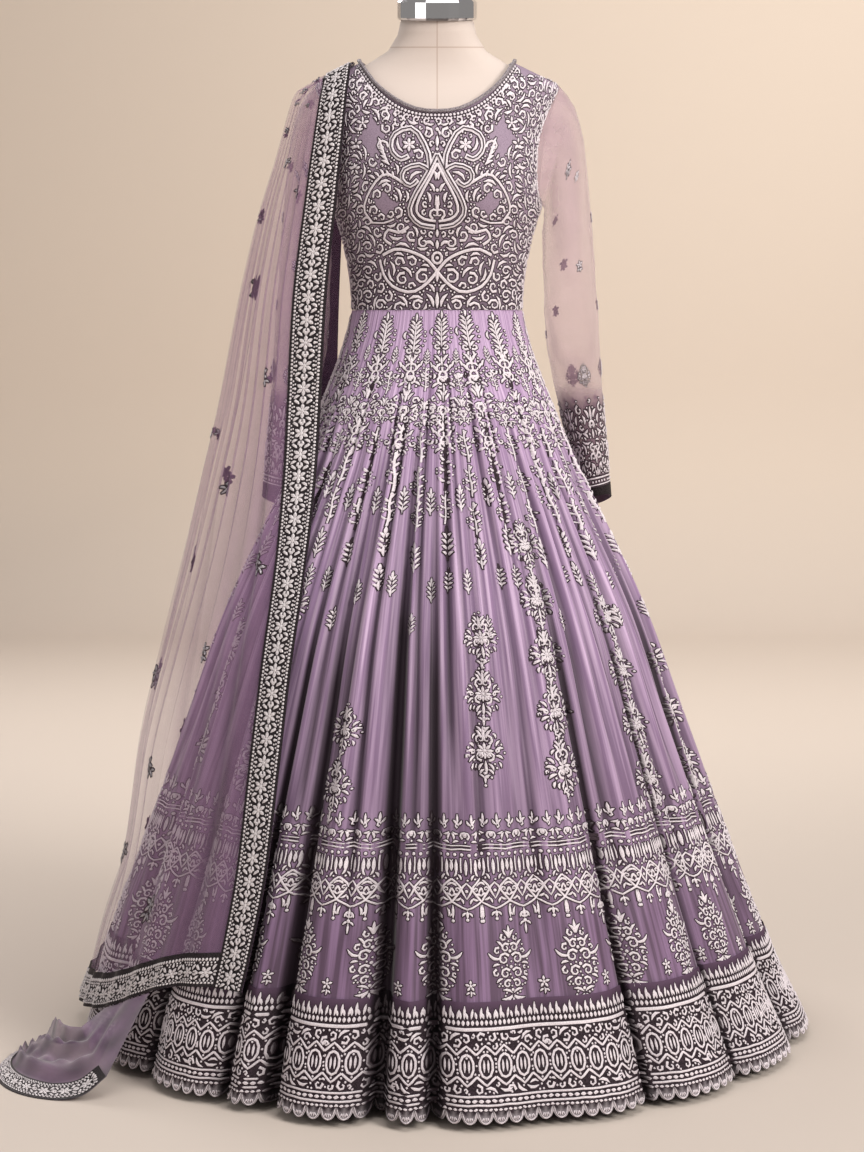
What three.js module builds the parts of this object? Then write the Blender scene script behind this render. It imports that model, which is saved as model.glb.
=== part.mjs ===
// Floor-length flared gown with long net sleeves and a draped net shawl, on a limbless dress form with a stand.
// Millimetres, +Z up, the front faces -Y. The origin is on the floor under the stand's pole.
import * as THREE from "three";

// Driving dimensions
const seam = 0.3; // gap between neighbouring pieces
const clothWall = 1.4;
const netWall = 1.1;
const trimWall = 1.2;
const trimGap = 0.6; // gap between a panel and the trim laid on it
const hemTrimGap = 0.8;
const formEase = 3.6; // gap between the cloth and the dress form
const waistHeight = 1010;
const underarmHeight = 1158;
const shoulderTip = { x: 168, z: 1320 };
const neckPoint = { x: 107, z: 1351 };
const frontNeckDrop = 75;
const backNeckDrop = 24;
const hemClearance = 10; // from the floor to the lowest scallop
const scallopDepth = 9;
const goreCount = 8;
const pleatCount = 56;
const columnsPerPleat = 3;
const scallopColumns = 2;
const borderTop = 150; // height of the hem border's upper edge
const shawlTrimWidth = 42;
const shawlTrimGap = 1;
const shawlLift = 8; // from the skirt's widest line to the shawl lying on it
const poleRadius = 16;
const baseHalf = 190;
const baseHeight = 6;

const degrees = Math.PI / 180;
const columnCount = pleatCount * columnsPerPleat;

const armholeGap = 0.7; // from the bodice's edge to the sleeve's seam
const neckCord = { radius: 2.6, sides: 5 };
const neckCap = { back: -10.2, bottom: 1408.4, tilt: 0.14, sides: 22 };
const form = { sides: 28, shoulderDrop: 5, neckLean: 0.16, slopeFrom: 1381, slopePerMm: 0.0052 };

// Outer surface of the fitted cloth at each height: half width, and depth in front of and behind the side line
const figure = [
  { z: 740, half: 158, front: 106, back: 118 },
  { z: 800, half: 157, front: 104, back: 118 },
  { z: 870, half: 146, front: 99, back: 110 },
  { z: 930, half: 132, front: 93, back: 98 },
  { z: 975, half: 122, front: 89, back: 90 },
  { z: 1010, half: 118.8, front: 88, back: 87 },
  { z: 1060, half: 122, front: 94, back: 88 },
  { z: 1117, half: 134, front: 110, back: 92 },
  { z: 1158, half: 146, front: 122, back: 95 },
  { z: 1200, half: 149, front: 122, back: 99 },
  { z: 1240, half: 153, front: 112, back: 99 },
  { z: 1280, half: 162, front: 96, back: 88 },
  { z: 1304, half: 169, front: 80, back: 74 },
  { z: 1320, half: 168, front: 67, back: 63 },
  { z: 1336, half: 138, front: 58, back: 56 },
  { z: 1351, half: 107, front: 54, back: 52 },
  { z: 1366, half: 79, front: 53, back: 51 },
  { z: 1385, half: 63, front: 53, back: 50 },
  { z: 1412, half: 55, front: 52, back: 49 },
];
const figureExponent = 2.3;
const formHeights = [
  740, 800, 870, 930, 1007, 1060, 1117, 1158, 1200, 1240, 1280, 1302, 1317, 1332, 1348, 1366, 1388, 1408,
];

// Heights of the panels' side edges and of the sleeves' seam along the armhole
const sideHeights = [waistHeight + seam, 1062, 1112];
const armholeHeights = [underarmHeight, 1166, 1186, 1212, 1240, 1268, 1294, 1312, shoulderTip.z];
const neckTrimSteps = 24;
const neckColumns = 6; // on each side of the middle
const shoulderColumns = 5;

// How far the armhole cuts in from the figure's side
const armholeCut = [
  { z: 1158, cut: 0 },
  { z: 1168, cut: 8 },
  { z: 1190, cut: 12 },
  { z: 1230, cut: 14 },
  { z: 1270, cut: 12 },
  { z: 1300, cut: 6 },
  { z: 1320, cut: 0 },
];

// Outermost line of the skirt at each height, on four sides
const skirtShape = [
  { z: 0, right: 531, left: 499, front: 531, back: 531 },
  { z: 28, right: 520, left: 492, front: 524, back: 524 },
  { z: 94, right: 486, left: 478, front: 498, back: 498 },
  { z: 172, right: 455, left: 456, front: 466, back: 466 },
  { z: 300, right: 405, left: 408, front: 415, back: 415 },
  { z: 440, right: 354, left: 356, front: 360, back: 360 },
  { z: 590, right: 299, left: 300, front: 300, back: 300 },
  { z: 730, right: 232, left: 234, front: 230, back: 232 },
  { z: 800, right: 197, left: 198, front: 192, back: 196 },
  { z: 870, right: 166, left: 167, front: 152, back: 156 },
  { z: 930, right: 141, left: 142, front: 118, back: 120 },
  { z: 975, right: 126, left: 127, front: 98, back: 98 },
  { z: 1010, right: 118.8, left: 118.8, front: 88, back: 87 },
];

// Depth of the small pleats and share of the deep folds at each height
const foldGrowth = [
  { z: 0, pleat: 0, deep: 1 },
  { z: 172, pleat: 0, deep: 1 },
  { z: 300, pleat: 3.5, deep: 0.82 },
  { z: 440, pleat: 6, deep: 0.62 },
  { z: 590, pleat: 7, deep: 0.42 },
  { z: 730, pleat: 6, deep: 0.24 },
  { z: 830, pleat: 4, deep: 0.1 },
  { z: 890, pleat: 1.2, deep: 0 },
  { z: 1010, pleat: 0, deep: 0 },
];

// Deep folds round the skirt: angle from the front towards the right, width of the valley and its depth at the hem
const deepFolds = [
  { angle: -172, width: 4.0, depth: 34 },
  { angle: -150, width: 3.6, depth: 26 },
  { angle: -131, width: 4.2, depth: 38 },
  { angle: -110, width: 3.6, depth: 24 },
  { angle: -88, width: 3.8, depth: 30 },
  { angle: -67, width: 3.6, depth: 26 },
  { angle: -50, width: 3.8, depth: 28 },
  { angle: -33, width: 3.2, depth: 30 },
  { angle: -25, width: 3.4, depth: 42 },
  { angle: -8.8, width: 3.2, depth: 46 },
  { angle: -0.6, width: 2.8, depth: 34 },
  { angle: 15, width: 4.5, depth: 9 },
  { angle: 31.6, width: 3.4, depth: 30 },
  { angle: 49.5, width: 4.0, depth: 22 },
  { angle: 70, width: 3.6, depth: 28 },
  { angle: 90, width: 4.0, depth: 24 },
  { angle: 112, width: 3.8, depth: 36 },
  { angle: 134, width: 3.6, depth: 26 },
  { angle: 157, width: 4.2, depth: 40 },
];

// Sleeve sections from the shoulder to the wrist: outer point, inner point, half depth and how far back each lies
const sleeveSections = [
  { outX: 181, outZ: 1306, inX: 149.5, inZ: 1150, deep: 50, back: 0 },
  { outX: 195, outZ: 1280, inX: 150, inZ: 1137, deep: 53, back: 1 },
  { outX: 206, outZ: 1235, inX: 148, inZ: 1118, deep: 54, back: 3 },
  { outX: 213, outZ: 1165, inX: 148, inZ: 1090, deep: 53, back: 7 },
  { outX: 220, outZ: 1075, inX: 150, inZ: 1040, deep: 51, back: 14 },
  { outX: 229, outZ: 980, inX: 156, inZ: 960, deep: 48, back: 30 },
  { outX: 238, outZ: 885, inX: 175, inZ: 875, deep: 42, back: 62 },
  { outX: 246, outZ: 815, inX: 194, inZ: 805, deep: 37, back: 88 },
  { outX: 251, outZ: 762, inX: 206, inZ: 752, deep: 34, back: 106 },
  { outX: 253, outZ: 740, inX: 210, inZ: 730, deep: 33, back: 112 },
];
const wristSlant = 9;
const cuffSection = 7; // section at which the embroidered cuff is sewn to the sleeve
const sleeveEnd = 726; // below this height nothing of a sleeve is in the way

// Shawl in front: the trimmed edge beside the neck, the outer edge at the side, the bow between and the depth of folds
const shawlFront = [
  { x: -113, y: -1.4, z: 1349.4, sideX: -180, sideY: -1.4, sideZ: 1315.4, bow: 0, fold: 1.5 },
  { x: -117, y: -40, z: 1346, sideX: -196, sideY: -8, sideZ: 1308, bow: 6, fold: 2 },
  { x: -119, y: -62, z: 1326, sideX: -203, sideY: -10, sideZ: 1290, bow: 10, fold: 2.5 },
  { x: -122, y: -78, z: 1300, sideX: -209, sideY: -10, sideZ: 1268, bow: 14, fold: 3 },
  { x: -127, y: -90, z: 1245, sideX: -223, sideY: -8, sideZ: 1215, bow: 20, fold: 4 },
  { x: -136, y: -95, z: 1160, sideX: -248, sideY: -5, sideZ: 1130, bow: 26, fold: 6 },
  { x: -150, y: -101, z: 1030, sideX: -273, sideY: 0, sideZ: 1020, bow: 30, fold: 8 },
  { x: -158, y: -108, z: 890, sideX: -301, sideY: 2, sideZ: 880, bow: 32, fold: 9 },
  { x: -163, y: -144, z: 790, sideX: -324, sideY: 4, sideZ: 785, bow: 36, fold: 9 },
  { x: -174, y: -205, z: 670, sideX: -353, sideY: 6, sideZ: 665, bow: 42, fold: 9 },
  { x: -190, y: -272, z: 550, sideX: -383, sideY: 8, sideZ: 545, bow: 50, fold: 9 },
  { x: -204, y: -324, z: 420, sideX: -415, sideY: 10, sideZ: 410, bow: 60, fold: 8 },
  { x: -219, y: -366, z: 290, sideX: -442, sideY: 10, sideZ: 232, bow: 66, fold: 7 },
  { x: -237, y: -396, z: 190, sideX: -490, sideY: 10, sideZ: 72, bow: 72, fold: 6 },
  { x: -246, y: -408, z: 145, sideX: -506, sideY: 10, sideZ: 27, bow: 74, fold: 6 },
];

// Shawl behind: its trimmed edge beside the neck and the bow from there to the side
const shawlBack = [
  { x: -113, y: 1.4, z: 1349.4, bow: 0 },
  { x: -117, y: 38, z: 1346, bow: 6 },
  { x: -119, y: 58, z: 1326, bow: 11 },
  { x: -122, y: 73, z: 1300, bow: 16 },
  { x: -127, y: 84, z: 1245, bow: 24 },
  { x: -134, y: 92, z: 1160, bow: 36 },
  { x: -141, y: 100, z: 1030, bow: 48 },
  { x: -146, y: 116, z: 890, bow: 64 },
  { x: -152, y: 156, z: 790, bow: 72 },
  { x: -162, y: 216, z: 670, bow: 66 },
  { x: -172, y: 282, z: 550, bow: 60 },
  { x: -182, y: 336, z: 420, bow: 62 },
  { x: -192, y: 382, z: 290, bow: 66 },
  { x: -200, y: 414, z: 190, bow: 72 },
  { x: -205, y: 428, z: 145, bow: 74 },
];
const shawlFrontFolds = 8;
const shawlBackFolds = 5;
const shawlClearance = 5; // from the bodice and the sleeve
const shoulderPart = 1200; // above this height the shawl is raised clear of the shoulder, by less than shoulderRise
const shoulderRise = 30;
const furthestPush = 1.3;
const seatedRow = 0.5; // rows before this one lie on the shoulder line
const levelRow = 1.5; // rows before this one have their folds standing up
const shawlGap = 0.9; // between the two stretches where they meet at the side
const trimShare = 0.12; // share of the shawl's columns that the trim takes
const cornerShare = 0.46; // where along the lower edge the shawl starts to drop to the floor

// End of the shawl that trails on the floor: its trimmed outer edge and its raised inner edge
const tailSections = [
  { x: -425, y: -395, z: 30, innerX: -472, innerY: -288, innerZ: 60, crest: 4 },
  { x: -454, y: -403, z: 8, innerX: -494, innerY: -262, innerZ: 50, crest: 8 },
  { x: -494, y: -400, z: 0, innerX: -507, innerY: -234, innerZ: 42, crest: 12 },
  { x: -532, y: -382, z: 0, innerX: -517, innerY: -206, innerZ: 34, crest: 14 },
  { x: -562, y: -350, z: 0, innerX: -524, innerY: -180, innerZ: 25, crest: 12 },
  { x: -582, y: -306, z: 0, innerX: -531, innerY: -158, innerZ: 16, crest: 9 },
  { x: -588, y: -256, z: 0, innerX: -538, innerY: -142, innerZ: 8, crest: 5 },
  { x: -580, y: -204, z: 0, innerX: -548, innerY: -134, innerZ: 3, crest: 2 },
];
const tailColumns = 7;
const tailTrimColumns = 2;
const tailRipples = 3.5; // soft ridges across the tail
const tailFlat = 0.3; // share of the width that lies flat, under the trim
const tailRoot = { from: 0.32, to: 0.54 }; // where the tail leaves the front stretch's lower edge

// Value of a table's column at one key, by a smooth curve through its rows
function sample(table, keyName, key, column) {
  const rows = table[0][keyName] <= table[table.length - 1][keyName] ? table : [...table].reverse();
  const last = rows.length - 1;
  if (key <= rows[0][keyName]) return rows[0][column];
  if (key >= rows[last][keyName]) return rows[last][column];
  let i = 0;
  while (rows[i + 1][keyName] < key) i++;
  const slope = (j) => {
    const a = rows[Math.max(j - 1, 0)];
    const b = rows[Math.min(j + 1, last)];
    return (b[column] - a[column]) / (b[keyName] - a[keyName]);
  };
  const span = rows[i + 1][keyName] - rows[i][keyName];
  const t = (key - rows[i][keyName]) / span;
  const h1 = 2 * t ** 3 - 3 * t ** 2 + 1;
  const h2 = t ** 3 - 2 * t ** 2 + t;
  const h3 = t ** 3 - t ** 2;
  return h1 * rows[i][column] + h2 * span * slope(i) + (1 - h1) * rows[i + 1][column] + h3 * span * slope(i + 1);
}

const lerp = (a, b, t) => a + (b - a) * t;

function lerpRow(table, t, column) {
  const i = Math.min(Math.floor(t), table.length - 2);
  return lerp(table[i][column], table[i + 1][column], t - i);
}

function steps(count, from = 0, to = 1) {
  return Array.from({ length: count + 1 }, (_, i) => lerp(from, to, i / count));
}

// Outward normal of a surface, from its neighbours on both sides
function normalAt(surface, u, v, range) {
  const du = (range.u[1] - range.u[0]) * 1e-3;
  const dv = (range.v[1] - range.v[0]) * 1e-3;
  const clampU = (x) => (range.closed ? x : Math.min(Math.max(x, range.u[0]), range.u[1]));
  const clampV = (x) => Math.min(Math.max(x, range.v[0]), range.v[1]);
  const across = surface(clampU(u + du), v).sub(surface(clampU(u - du), v));
  const along = surface(u, clampV(v + dv)).sub(surface(u, clampV(v - dv)));
  return across.cross(along).normalize().multiplyScalar(range.facing);
}

// A wall of cloth between two grids of points, closed round its edges
function wallGeometry(outer, inner, closed) {
  const positions = [];
  const across = outer.length;
  const along = outer[0].length;
  const quad = (a, b, c, d) => positions.push(a, b, c, a, c, d);
  const spans = closed ? across : across - 1;
  for (let i = 0; i < spans; i++) {
    const j = (i + 1) % across;
    for (let k = 0; k < along - 1; k++) {
      quad(outer[i][k], outer[j][k], outer[j][k + 1], outer[i][k + 1]);
      quad(inner[i][k], inner[i][k + 1], inner[j][k + 1], inner[j][k]);
    }
    quad(inner[i][0], inner[j][0], outer[j][0], outer[i][0]);
    quad(outer[i][along - 1], outer[j][along - 1], inner[j][along - 1], inner[i][along - 1]);
  }
  if (!closed) {
    const end = across - 1;
    for (let k = 0; k < along - 1; k++) {
      quad(inner[0][k], outer[0][k], outer[0][k + 1], inner[0][k + 1]);
      quad(inner[end][k], inner[end][k + 1], outer[end][k + 1], outer[end][k]);
    }
  }
  return facingOut(positions);
}

// Triangles as a geometry, turned round if they enclose a negative volume
function facingOut(points) {
  let volume = 0;
  for (let i = 0; i < points.length; i += 3)
    volume += points[i].dot(new THREE.Vector3().crossVectors(points[i + 1], points[i + 2]));
  const ordered = [];
  for (let i = 0; i < points.length; i += 3)
    ordered.push(points[i], points[volume < 0 ? i + 2 : i + 1], points[volume < 0 ? i + 1 : i + 2]);
  return new THREE.BufferGeometry().setFromPoints(ordered);
}

// Grid of a surface's points, each moved out along its normal
function grid(surface, us, vs, range, lift = 0) {
  return us.map((u) =>
    vs.map((v) => surface(u, v).addScaledVector(normalAt(surface, u, v, range), lift)),
  );
}

function clothGeometry(surface, us, vs, range, lift = 0, wall = clothWall) {
  return wallGeometry(
    grid(surface, us, vs, range, lift + wall),
    grid(surface, us, vs, range, lift),
    range.closed,
  );
}

// A closed body through rings of points, with a flat fan at each end
function bodyGeometry(rings) {
  const positions = [];
  const count = rings[0].length;
  for (let k = 0; k < rings.length - 1; k++)
    for (let i = 0; i < count; i++) {
      const j = (i + 1) % count;
      positions.push(rings[k][i], rings[k][j], rings[k + 1][j], rings[k][i], rings[k + 1][j], rings[k + 1][i]);
    }
  const middle = (ring) => ring.reduce((s, p) => s.add(p), new THREE.Vector3()).divideScalar(count);
  const bottom = middle(rings[0]);
  const top = middle(rings[rings.length - 1]);
  for (let i = 0; i < count; i++) {
    const j = (i + 1) % count;
    positions.push(bottom, rings[0][j], rings[0][i]);
    positions.push(top, rings[rings.length - 1][i], rings[rings.length - 1][j]);
  }
  return facingOut(positions);
}

// Round cord along a closed path of points
function cordGeometry(path, radius, sides) {
  const rings = path.map((point, i) => {
    const before = path[(i + path.length - 1) % path.length];
    const after = path[(i + 1) % path.length];
    const along = after.clone().sub(before).normalize();
    const side = new THREE.Vector3(0, 0, 1).cross(along).normalize();
    const up = along.clone().cross(side);
    return steps(sides).slice(0, sides).map((t) => {
      const turn = t * Math.PI * 2;
      return point.clone().addScaledVector(side, Math.cos(turn) * radius).addScaledVector(up, Math.sin(turn) * radius);
    });
  });
  const positions = [];
  for (let k = 0; k < rings.length; k++) {
    const next = rings[(k + 1) % rings.length];
    for (let i = 0; i < sides; i++) {
      const j = (i + 1) % sides;
      positions.push(rings[k][i], rings[k][j], next[j], rings[k][i], next[j], next[i]);
    }
  }
  return facingOut(positions);
}

const figureAt = (z, column) => sample(figure, "z", z, column);

// Distance of the fitted cloth from the side line at one width and height
function figureDepth(x, z, side) {
  const share = Math.min(Math.abs(x) / figureAt(z, "half"), 1);
  return figureAt(z, side) * (1 - share ** figureExponent) ** (1 / figureExponent);
}

// Height of the shoulder line at a distance from the middle
function shoulderHeight(x) {
  let low = shoulderTip.z;
  let high = neckPoint.z;
  for (let i = 0; i < 30; i++) {
    const middle = (low + high) / 2;
    if (figureAt(middle, "half") > x) low = middle;
    else high = middle;
  }
  return low;
}

function armholeWidth(z) {
  if (z >= shoulderTip.z) return shoulderTip.x;
  if (z <= underarmHeight) return figureAt(z, "half");
  return figureAt(z, "half") - sample(armholeCut, "z", z, "cut");
}

function panelTop(share, drop) {
  const x = Math.abs(share) * shoulderTip.x;
  if (x >= neckPoint.x) return shoulderHeight(x);
  return neckPoint.z - drop * (1 - (x / neckPoint.x) ** 2.6);
}

// Bodice panel: u turns from one side to the other in degrees, v runs from the waist to the top edge
function bodiceSurface(side) {
  const sign = side === "front" ? -1 : 1;
  const drop = side === "front" ? frontNeckDrop : backNeckDrop;
  return (u, v) => {
    const share = Math.sin(u * degrees);
    const z = lerp(sideHeights[0], panelTop(share, drop), v);
    const x = share * armholeWidth(z);
    const depth = Math.abs(u) > 89.99 && z <= underarmHeight ? 0 : figureDepth(x, z, side);
    return new THREE.Vector3(x, sign * (depth + seam / 2), z);
  };
}

const bodiceRows = [...sideHeights, ...armholeHeights].map(
  (z) => (z - sideHeights[0]) / (shoulderTip.z - sideHeights[0]),
);

// Evenly spaced places along one row of a surface
function evenAlong(surface, v, from, to, count) {
  const fine = steps(240, from, to);
  const lengths = [0];
  for (let i = 1; i < fine.length; i++)
    lengths.push(lengths[i - 1] + surface(fine[i], v).distanceTo(surface(fine[i - 1], v)));
  const total = lengths[lengths.length - 1];
  return steps(count).map((share) => {
    const i = lengths.findIndex((length) => length >= share * total - 1e-9);
    return fine[Math.max(i, 0)];
  });
}

const neckReach = Math.asin(neckPoint.x / shoulderTip.x) / degrees;

// Columns of a panel: even along the neckline, then by turn to the side
function bodiceTurns(side) {
  const surface = bodiceSurface(side);
  const neck = evenAlong(surface, 1, 0, neckReach, neckColumns);
  const shoulder = steps(shoulderColumns, neckReach, 90).slice(1);
  const half = [...neck, ...shoulder];
  return [...half.slice(1).reverse().map((u) => -u), ...half];
}

function bodiceRange(side) {
  return { u: [-90, 90], v: [0, 1], closed: false, facing: side === "front" ? 1 : -1 };
}

// Radius of the skirt's widest line at an angle from the front: the figure's section at the waist, rounder below
function skirtEnvelope(angle, z) {
  const x = Math.sin(angle * degrees);
  const y = -Math.cos(angle * degrees);
  const halfX = sample(skirtShape, "z", z, x > 0 ? "right" : "left");
  const halfY = sample(skirtShape, "z", z, y < 0 ? "front" : "back");
  const power = lerp(2, figureExponent, Math.min(Math.max((z - 800) / (waistHeight - 800), 0), 1));
  return (Math.abs(x / halfX) ** power + Math.abs(y / halfY) ** power) ** (-1 / power);
}

function foldDepth(angle, z) {
  const growth = sample(foldGrowth, "z", z, "deep");
  let depth = 0;
  for (const fold of deepFolds) {
    const away = ((angle - fold.angle + 540) % 360) - 180;
    depth = Math.max(depth, fold.depth * Math.exp(-((away / fold.width) ** 2)));
  }
  const pleat = sample(foldGrowth, "z", z, "pleat");
  const uneven = 0.8 + 0.2 * Math.sin(5 * angle * degrees + 1.3);
  return depth * growth + (pleat * uneven * (0.5 - Math.cos(pleatCount * angle * degrees))) / 1.5;
}

function skirtSurface(angle, z) {
  const radius = skirtEnvelope(angle, z) - foldDepth(angle, z);
  return new THREE.Vector3(radius * Math.sin(angle * degrees), -radius * Math.cos(angle * degrees), z);
}

const skirtRange = { u: [-180, 180], v: [0, waistHeight], closed: true, facing: 1 };
const skirtHeights = [28, borderTop, 320, 480, 650, 790, 890, waistHeight - seam];

const goreSpan = 360 / goreCount;

// One gore of the skirt, with half the seam's gap taken from each side
function goreGeometry(index) {
  const first = (index - 0.5) * goreSpan;
  const us = steps(columnCount / goreCount, first, first + goreSpan);
  const outer = grid(skirtSurface, us, skirtHeights, skirtRange, 0);
  const inner = grid(skirtSurface, us, skirtHeights, skirtRange, -clothWall);
  for (const [k, way] of [[0, 1], [us.length - 1, -1]])
    skirtHeights.forEach((z, row) => {
      const normal = outer[k][row].clone().sub(inner[k][row]).normalize();
      const next = skirtHeights[row + 1] === undefined ? row - 1 : row + 1;
      const along = outer[k][next].clone().sub(outer[k][row]).multiplyScalar(next - row);
      const sideways = along.cross(normal).normalize();
      outer[k][row].addScaledVector(sideways, (way * seam) / 2);
      inner[k][row].addScaledVector(sideways, (way * seam) / 2);
    });
  return wallGeometry(outer, inner, false);
}

// Embroidered border round the hem, laid on the gores, with a scalloped lower edge
function hemBorderGeometry() {
  const angles = steps(columnCount, -goreSpan / 2, 360 - goreSpan / 2).slice(0, columnCount);
  const heights = [skirtHeights[0], borderTop];
  const edgeCount = columnCount * 2;
  const layer = (lift) => {
    const rows = grid(skirtSurface, angles, heights, skirtRange, lift);
    const edge = steps(edgeCount).slice(0, edgeCount).map((_, i) => {
      const before = rows[Math.floor(i / 2)];
      const after = rows[Math.ceil(i / 2) % columnCount];
      const low = before[0].clone().lerp(after[0], 0.5);
      const high = before[1].clone().lerp(after[1], 0.5);
      const rise = i % scallopColumns === 0 ? scallopDepth : 0;
      const slope = high.sub(low).divideScalar(high.z - low.z);
      return low.addScaledVector(slope, hemClearance + rise - low.z);
    });
    return { rows, edge };
  };
  const outer = layer(hemTrimGap + trimWall);
  const inner = layer(hemTrimGap);
  const positions = [];
  const quad = (a, b, c, d) => positions.push(a, b, c, a, c, d);
  const face = ({ rows, edge }, i, flipped) => {
    const j = (i + 1) % columnCount;
    const e = [0, 1, 2].map((k) => edge[(2 * i + k) % edgeCount]);
    const triangles = [
      [rows[i][0], rows[j][0], rows[j][1]],
      [rows[i][0], rows[j][1], rows[i][1]],
      [e[0], e[1], rows[i][0]],
      [e[1], rows[j][0], rows[i][0]],
      [e[1], e[2], rows[j][0]],
    ];
    for (const [a, b, c] of triangles) positions.push(a, flipped ? c : b, flipped ? b : c);
    return { top: [rows[i][1], rows[j][1]], edge: e };
  };
  for (let i = 0; i < columnCount; i++) {
    const a = face(outer, i, false);
    const b = face(inner, i, true);
    quad(a.top[0], a.top[1], b.top[1], b.top[0]);
    for (const k of [0, 1]) quad(a.edge[k + 1], a.edge[k], b.edge[k], b.edge[k + 1]);
  }
  return facingOut(positions);
}

// Armhole's edge, going round from the shoulder tip by the front
function armholePoint(turn) {
  const middle = (shoulderTip.z + underarmHeight) / 2;
  const z = middle + (shoulderTip.z - middle) * Math.cos(turn);
  const x = armholeWidth(z);
  const way = Math.sin(turn) >= 0 ? -1 : 1;
  const atTip = Math.abs(Math.sin(turn)) < 1e-6;
  const depth = atTip ? 0 : figureDepth(x, z, way < 0 ? "front" : "back") + seam / 2;
  return new THREE.Vector3(x + armholeGap, depth * way, z);
}

// Sleeve of one arm: u turns round it in degrees, v counts the sections from the armhole
function sleeveSurface(arm) {
  const section = (index, turn) => {
    if (index === 0) return armholePoint(turn);
    const s = sleeveSections[index - 1];
    const share = (Math.cos(turn) + 1) / 2;
    const slant = index === sleeveSections.length ? wristSlant * Math.sin(turn) : 0;
    return new THREE.Vector3(
      lerp(s.inX, s.outX, share),
      s.back - s.deep * Math.sin(turn),
      lerp(s.inZ, s.outZ, share) + slant,
    );
  };
  return (u, v) => {
    const turn = u * degrees;
    const i = Math.min(Math.floor(v), sleeveSections.length - 1);
    const point = section(i, turn).lerp(section(i + 1, turn), v - i);
    point.x *= arm;
    return point;
  };
}

function sleeveRange(arm) {
  return { u: [0, 360], v: [0, sleeveSections.length], closed: true, facing: arm };
}

// Columns of a sleeve: its seam meets the bodice's edge at the same heights
const sleeveTurns = (() => {
  const middle = (shoulderTip.z + underarmHeight) / 2;
  const half = shoulderTip.z - middle;
  const down = [...armholeHeights].reverse().map((z) => Math.acos((z - middle) / half) / degrees);
  return [...down, ...down.slice(1, -1).reverse().map((u) => 360 - u)];
})();

function sleeveGeometry(arm) {
  const rows = steps(cuffSection, 0, cuffSection);
  return clothGeometry(sleeveSurface(arm), sleeveTurns, rows, sleeveRange(arm), -netWall, netWall);
}

function cuffGeometry(arm) {
  const last = sleeveSections.length;
  const rowLength = sleeveSections[cuffSection - 1].outZ - sleeveSections[cuffSection].outZ;
  const rows = steps(last - cuffSection, cuffSection, last);
  rows[0] += seam / rowLength;
  return clothGeometry(sleeveSurface(arm), sleeveTurns, rows, sleeveRange(arm), -netWall, netWall);
}

function cuffTrimGeometry(arm) {
  const last = sleeveSections.length;
  return clothGeometry(sleeveSurface(arm), sleeveTurns, [last - 1, last], sleeveRange(arm), trimGap, trimWall);
}

// Beaded cord along the neckline, lying on both bodice panels
function neckTrimGeometry() {
  const edge = (side, from, to) => {
    const surface = bodiceSurface(side);
    return evenAlong(surface, 1, from, to, neckTrimSteps).slice(0, neckTrimSteps).map((u) =>
      surface(u, 1).addScaledVector(normalAt(surface, u, 1, bodiceRange(side)), neckCord.radius + trimGap),
    );
  };
  const path = [...edge("front", -neckReach, neckReach), ...edge("back", neckReach, -neckReach)];
  return cordGeometry(path, neckCord.radius, neckCord.sides);
}

// Sleeve's sections with its seam at the armhole, each with the height of its middle
const armholeSection = { outX: shoulderTip.x, outZ: shoulderTip.z, inX: 146, inZ: underarmHeight, deep: 44, back: 0 };
const armholeInset = 120; // from the middle to the sleeve cap's inner side
const ovalSections = [armholeSection, ...sleeveSections].map((row) => ({ ...row, middleZ: (row.outZ + row.inZ) / 2 }));

// Half widths and middle of a sleeve's level section at one height
function sleeveOval(z) {
  const outX = sample(ovalSections, "outZ", z, "outX");
  const inX = z > underarmHeight ? armholeInset : sample(ovalSections, "inZ", z, "inX");
  const back = sample(ovalSections, "middleZ", z, "back");
  return { x: (outX + inX) / 2, y: back, halfX: (outX - inX) / 2, halfY: sample(ovalSections, "middleZ", z, "deep") };
}

// How far out from the bodice and the right sleeve a point has to move to clear them, as a factor from each middle
function bodicePush(x, y, z, gap) {
  const halfX = figureAt(z, "half") + gap;
  const halfY = figureAt(z, y < 0 ? "front" : "back") + gap;
  const inside = Math.abs(x / halfX) ** figureExponent + Math.abs(y / halfY) ** figureExponent;
  return Math.max(inside ** (-1 / figureExponent), 1);
}

function sleevePush(x, y, z, gap) {
  if (z > shoulderTip.z || z < sleeveEnd) return 1;
  const oval = sleeveOval(z);
  return 1 / Math.min(Math.hypot((x + oval.x) / (oval.halfX + gap), (y - oval.y) / (oval.halfY + gap)), 1);
}

// Moves a point of the shawl out of the bodice, the right sleeve and the skirt
function clearOfGown(point, gap) {
  const isClear = (z) => bodicePush(point.x, point.y, z, gap) === 1 && sleevePush(point.x, point.y, z, gap) === 1;
  if (point.z > shoulderPart && !isClear(point.z)) {
    let raised = point.z;
    while (raised < neckPoint.z + gap && !isClear(raised - gap)) raised += 1;
    if (raised - point.z < shoulderRise) point.z = raised;
  }
  if (point.z > waistHeight) {
    const push = Math.min(bodicePush(point.x, point.y, point.z, gap), furthestPush);
    point.x *= push;
    point.y *= push;
  }
  const push = sleevePush(point.x, point.y, point.z, gap);
  if (push > 1) {
    const oval = sleeveOval(point.z);
    point.x = (point.x + oval.x) * push - oval.x;
    point.y = (point.y - oval.y) * push + oval.y;
  }
  if (point.z < waistHeight) {
    const reach = Math.hypot(point.x, point.y);
    const angle = Math.atan2(point.x, -point.y) / degrees;
    const out = Math.max((skirtEnvelope(angle, point.z) + shawlLift) / reach, 1);
    point.x *= out;
    point.y *= out;
  }
  return point;
}

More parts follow.
